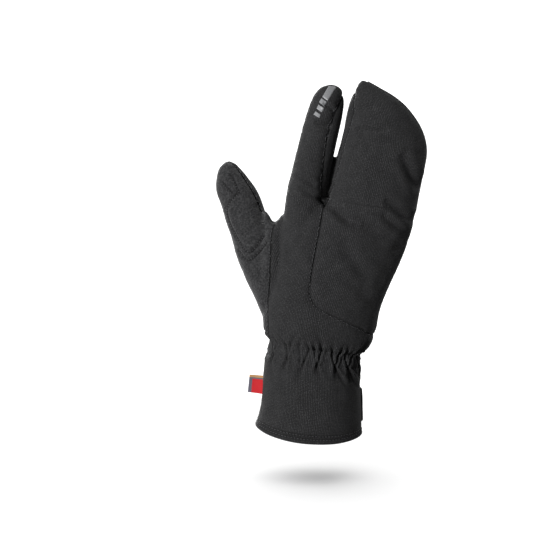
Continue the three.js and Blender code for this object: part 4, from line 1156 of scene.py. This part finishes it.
for by, length, turned in ((2.1, 1.9, False), (3.2, 1.7, True), (4.3, 1.9, False)):
    row = evenly(np.concatenate([inset(pad_outline, by), inset(pad_outline, by)[:1]]), 1.0)
    flat = on_hand(row[:, 0], 0.0, row[:, 1])[:, [0, 2]]
    stitch_row(palm_side_row(pad_skin, flat), 2.6, length, 0.22, turned, pad_skin)
row_start = 36
for skin, (end, foot, top, corner), by in ((strap_skin, strap_shape, 2.6), (patch_skin, patch_shape, 1.6)):
    row = [(row_start, foot + by)]
    for middle_up, first, last in ((foot + corner, -0.5, -1.0), (top - corner, -1.0, -1.5)):
        row += [(end + corner + (corner - by) * math.cos(a), middle_up + (corner - by) * math.sin(a))
                for a in np.linspace(first * math.pi, last * math.pi, 12)]
    row = evenly(row + [(row_start, top - by)], 1.0)
    flat = np.stack([row[:, 0] * math.cos(cuff_lean), row[:, 1] - row[:, 0] * math.sin(cuff_lean)], 1)
    row = palm_side_row(skin, flat)
    if skin is patch_skin:
        row = np.array([p for p in row if strap_line(p[None])[0] > 1])
    cuts = np.flatnonzero(np.linalg.norm(np.diff(row, axis=0), axis=1) > 4) + 1
    for part in np.split(row, cuts):
        if len(part) > 4:
            stitch_row(part, 2.6, 1.9, 0.24, False, skin)
crotch_arc = evenly([(-6.7, 125.7), (-11.5, 119), (-15, 113), (-16.6, 107), (-16.2, 101), (-20.2, 96.4)], 1.0)
stitch_row(hits(seen_from(1, x, z) for x, z in crotch_arc), 2.8, 2.0)
thread, tree = new_material("polyester_thread")
add(tree, "OutputMaterial", {"Surface": add(tree, "BsdfPrincipled", {
    "Base Color": "3c3c3e", "Roughness": 0.45, "Specular IOR Level": 0.5})})
shaped_piece("shell_stitches", *joined(stitches), thread, "binding_tape")


# Reflective marks. Four patches of glass-beaded film are pressed on to the index finger's back, a long bar over
# the fingertip and three short ones below it.
def film(corners, height=0.16, columns=8, rows_down=12):
    # a thin film over the cloth inside four corners, which are given as side and height in mm
    corners = np.array(corners, float)
    wide, half_count = columns + 1, (columns + 1) * (rows_down + 1)
    points, faces, rim = [], [], []
    for layer in (height, -0.3):
        for i in range(rows_down + 1):
            for j in range(columns + 1):
                s, t = j / columns, i / rows_down
                x, z = ((1 - s) * (1 - t) * corners[0] + s * (1 - t) * corners[1] + s * t * corners[2]
                        + (1 - s) * t * corners[3])
                place, out = seen_from(-1, x, z)
                off_the_rim = 0 < i < rows_down and 0 < j < columns
                points.append(np.array(place) + (layer if off_the_rim else min(layer, 0.02)) * np.array(out))
    for i in range(rows_down):
        for j in range(columns):
            a = i * wide + j
            quad = (a, a + 1, a + wide + 1, a + wide)
            faces += [quad, tuple(k + half_count for k in quad[::-1])]
    for j in range(columns):
        rim += [(j, j + 1), (rows_down * wide + j + 1, rows_down * wide + j)]
    for i in range(rows_down):
        rim += [((i + 1) * wide, i * wide), (i * wide + columns, (i + 1) * wide + columns)]
    return points, faces + [(b, a, a + half_count, b + half_count) for a, b in rim]


marks = [
    ((12.9, 209.4), (19.4, 209.0), (11.8, 196.7), (7.6, 200.0)),
    ((7.0, 199.0), (11.0, 195.8), (9.3, 192.1), (5.0, 195.8)),
    ((4.6, 193.8), (9.0, 190.7), (7.0, 187.4), (3.0, 190.7)),
    ((2.3, 188.4), (6.3, 185.4), (5.3, 182.8), (0.6, 185.8))]
film_grey = grey_cloth("reflective_film", "77787a", "8e8f91", 0.7, 0.4, 0.03)
shaped_piece("index_reflective_marks", *joined(film(corners) for corners in marks), film_grey,
             "reflective_tape")

# Grips. Bars of black silicone are printed on the suede of palm, fingers and thumb. They stand up half a
# millimetre with a round glossy top.
grips = [
    ((4.0, 191.0), (20.0, 191.6)), ((2.5, 186.0), (19.0, 187.0)), ((0.5, 180.0), (17.5, 181.4)),
    ((-1.5, 174.5), (16.5, 176.0)), ((39.0, 202.5), (55.0, 203.4)), ((34.5, 196.5), (61.5, 198.3)),
    ((32.5, 190.5), (67.5, 193.7)), ((31.5, 185.0), (70.0, 188.3)), ((-10.0, 138.1), (16.0, 139.0)),
    ((-10.5, 133.4), (25.0, 135.0)), ((-11.0, 128.2), (55.0, 132.7)), ((-11.5, 121.8), (74.5, 127.4)),
    ((-10.0, 117.4), (74.5, 121.0)), ((-10.0, 113.3), (74.0, 116.3)), ((-10.0, 108.1), (73.0, 111.6)),
    ((-5.5, 102.8), (54.0, 106.8)), ((0.0, 98.8), (40.0, 101.6)), ((4.0, 94.2), (32.0, 96.2)),
    ((8.0, 89.6), (24.0, 91.0)), ((-72.6, 122.0), (-62.0, 133.8)), ((-69.6, 116.2), (-58.5, 129.0)),
    ((-66.7, 110.3), (-55.6, 124.4)), ((-63.8, 103.8), (-53.8, 119.7))]
bars, half_width, stands_up, sides = [], 1.6, 0.6, 8
for start, end in grips:
    start, end = np.array(start), np.array(end)
    length = np.linalg.norm(end - start)
    run = (end - start) / length
    rings = []
    for at in length * (0.5 - 0.5 * np.cos(np.linspace(0, math.pi, max(9, int(length / 1.1))))):
        from_end = min(at, length - at, half_width) / half_width
        half_here = half_width * math.sqrt(max(1 - (1 - from_end) ** 2, 0.02))
        ring_points = []
        for a in np.linspace(0, math.pi, sides - 1):
            off_the_middle = half_here * math.cos(a) * np.array((-run[1], run[0]))
            place, out = seen_from(1, *(start + run * at + off_the_middle))
            if place is not None:
                rise = stands_up * math.sin(a) * half_here / half_width - 0.08
                ring_points.append(np.array(place) + rise * np.array(out))
        if len(ring_points) == sides - 1 and min(p[1] for p in ring_points) > 0:
            rings.append(ring_points + [ring_points[sides // 2 - 1] - np.array((0, 1.4, 0))])
    rings = np.array(rings)
    # a bar bridges the narrow dips that it crosses
    for _ in range(14):
        rings[1:-1, :, 1] = np.maximum(rings[1:-1, :, 1], (rings[:-2, :, 1] + rings[2:, :, 1]) / 2)
    bars.append((rings.reshape(-1, 3), capped_tube(len(rings), sides)))
silicone, tree = new_material("printed_silicone")
add(tree, "OutputMaterial", {"Surface": add(tree, "BsdfPrincipled", {
    "Base Color": "0c0c0d", "Roughness": 0.16, "Specular IOR Level": 0.7})})
shaped_piece("palm_grip_silicone", *joined(bars), silicone, "suede")


# Studio. A pale table under the hem in a white surround, a soft key light from the front left, weak lights from
# behind and from the right, a broad light from above that draws the shadow, and a camera at the height and
# distance of the photograph.
far_off, floor_z = 60000, -107
floor_mesh = make_mesh("floor", [(x * far_off, y * far_off, floor_z) for x, y in
                                 ((-1, -1), (1, -1), (1, 1), (-1, 1))], [(0, 1, 2, 3)])
floor = put_in_scene("floor", floor_mesh)
# a white table that glows though no lamp lights it: the glow rises from 0.15 round the glove to 0.5 further
# out, so it stays white round the shadow, and other rays see only a dull grey, so it throws little light back
# on to the glove
glowing_table, tree = new_material("glowing_white_table")
place = add(tree, "SeparateXYZ", (add(tree, "TexCoord").outputs["Object"],))
out_square = add(tree, "Math", (place.outputs["X"], place.outputs["X"], add(
    tree, "Math", (place.outputs["Y"], place.outputs["Y"]), operation="MULTIPLY")), operation="MULTIPLY_ADD")
glow = add(tree, "MapRange", (out_square, 0.05, 0.2, 0.15, 0.5))
bright = add(tree, "BsdfPrincipled", {"Base Color": "f8f8f8", "Roughness": 0.9, "Specular IOR Level": 0.0,
                                      "Emission Color": "ffffff", "Emission Strength": glow})
dull = add(tree, "BsdfDiffuse", {"Color": "828282"})
table = add(tree, "MixShader", (add(tree, "LightPath").outputs["Is Camera Ray"], dull, bright))
add(tree, "OutputMaterial", {"Surface": table})
floor_mesh.materials.append(glowing_table)

world = bpy.data.worlds.new("white_surround")
bpy.context.scene.world = world
world.use_nodes = True
tree = world.node_tree
tree.nodes.clear()
white = add(tree, "Background", {"Color": "ffffff", "Strength": 1.05})
# as a light on the glove the surround is weak: it fades out to the right, and shines a little from behind
toward = add(tree, "SeparateXYZ", (add(tree, "TexCoord").outputs["Generated"],))
from_left = add(tree, "MapRange", (toward.outputs["X"], -0.9, 0.5, 0.34, 0.0))
from_behind = add(tree, "MapRange", (toward.outputs["Y"], 0.2, 1.0, 0.0, 0.6))
fill = add(tree, "Background", {"Color": "ffffff", "Strength": add(tree, "Math", (from_left, from_behind),
                                                                  operation="ADD")})
both = add(tree, "MixShader", (add(tree, "LightPath").outputs["Is Camera Ray"], fill, white))
add(tree, "OutputWorld", {"Surface": both})

# each light falls on the glove alone, or on the table alone
glove, table_only = bpy.data.collections.new("glove"), bpy.data.collections.new("table")
for piece in bpy.data.objects:
    if piece.type == "MESH":
        (table_only if piece == floor else glove).objects.link(piece)


def turn_to(thing, aim):
    thing.rotation_euler = (aim - thing.location).to_track_quat("-Z", "Y").to_euler()


for name, place, size, power_w in (("key", (-1.3, -1.4, 0.7), 0.5, 51),
                                   ("from_behind", (-0.7, 1.7, 0.7), 0.8, 40),
                                   ("from_the_right", (1.3, 1.1, 0.5), 0.8, 8)):
    light = bpy.data.lights.new(name, "AREA")
    light.shape, light.size, light.energy = "DISK", size, power_w
    lamp = put_in_scene(name, light)
    lamp.location = place
    turn_to(lamp, Vector((0, 0, 0.05)))
    lamp.light_linking.receiver_collection = glove
above = bpy.data.lights.new("above", "SUN")
above.energy, above.angle = 3.0, math.radians(105)
lamp = put_in_scene("above", above)
lamp.rotation_euler = (math.radians(-8), math.radians(-12), 0)
lamp.light_linking.receiver_collection = table_only

camera = bpy.data.cameras.new("camera")
camera.sensor_width, camera.lens = 36.0, 109.8
view = put_in_scene("camera", camera)
aim, away = Vector((-0.0364, 0, 0.065)), 1.3
view.location = aim + Vector((0, -away * math.cos(view_rise), away * math.sin(view_rise)))
turn_to(view, aim)
bpy.context.scene.camera = view
bpy.context.scene.view_settings.view_transform = "Standard"
bpy.context.scene.view_settings.look = "None"
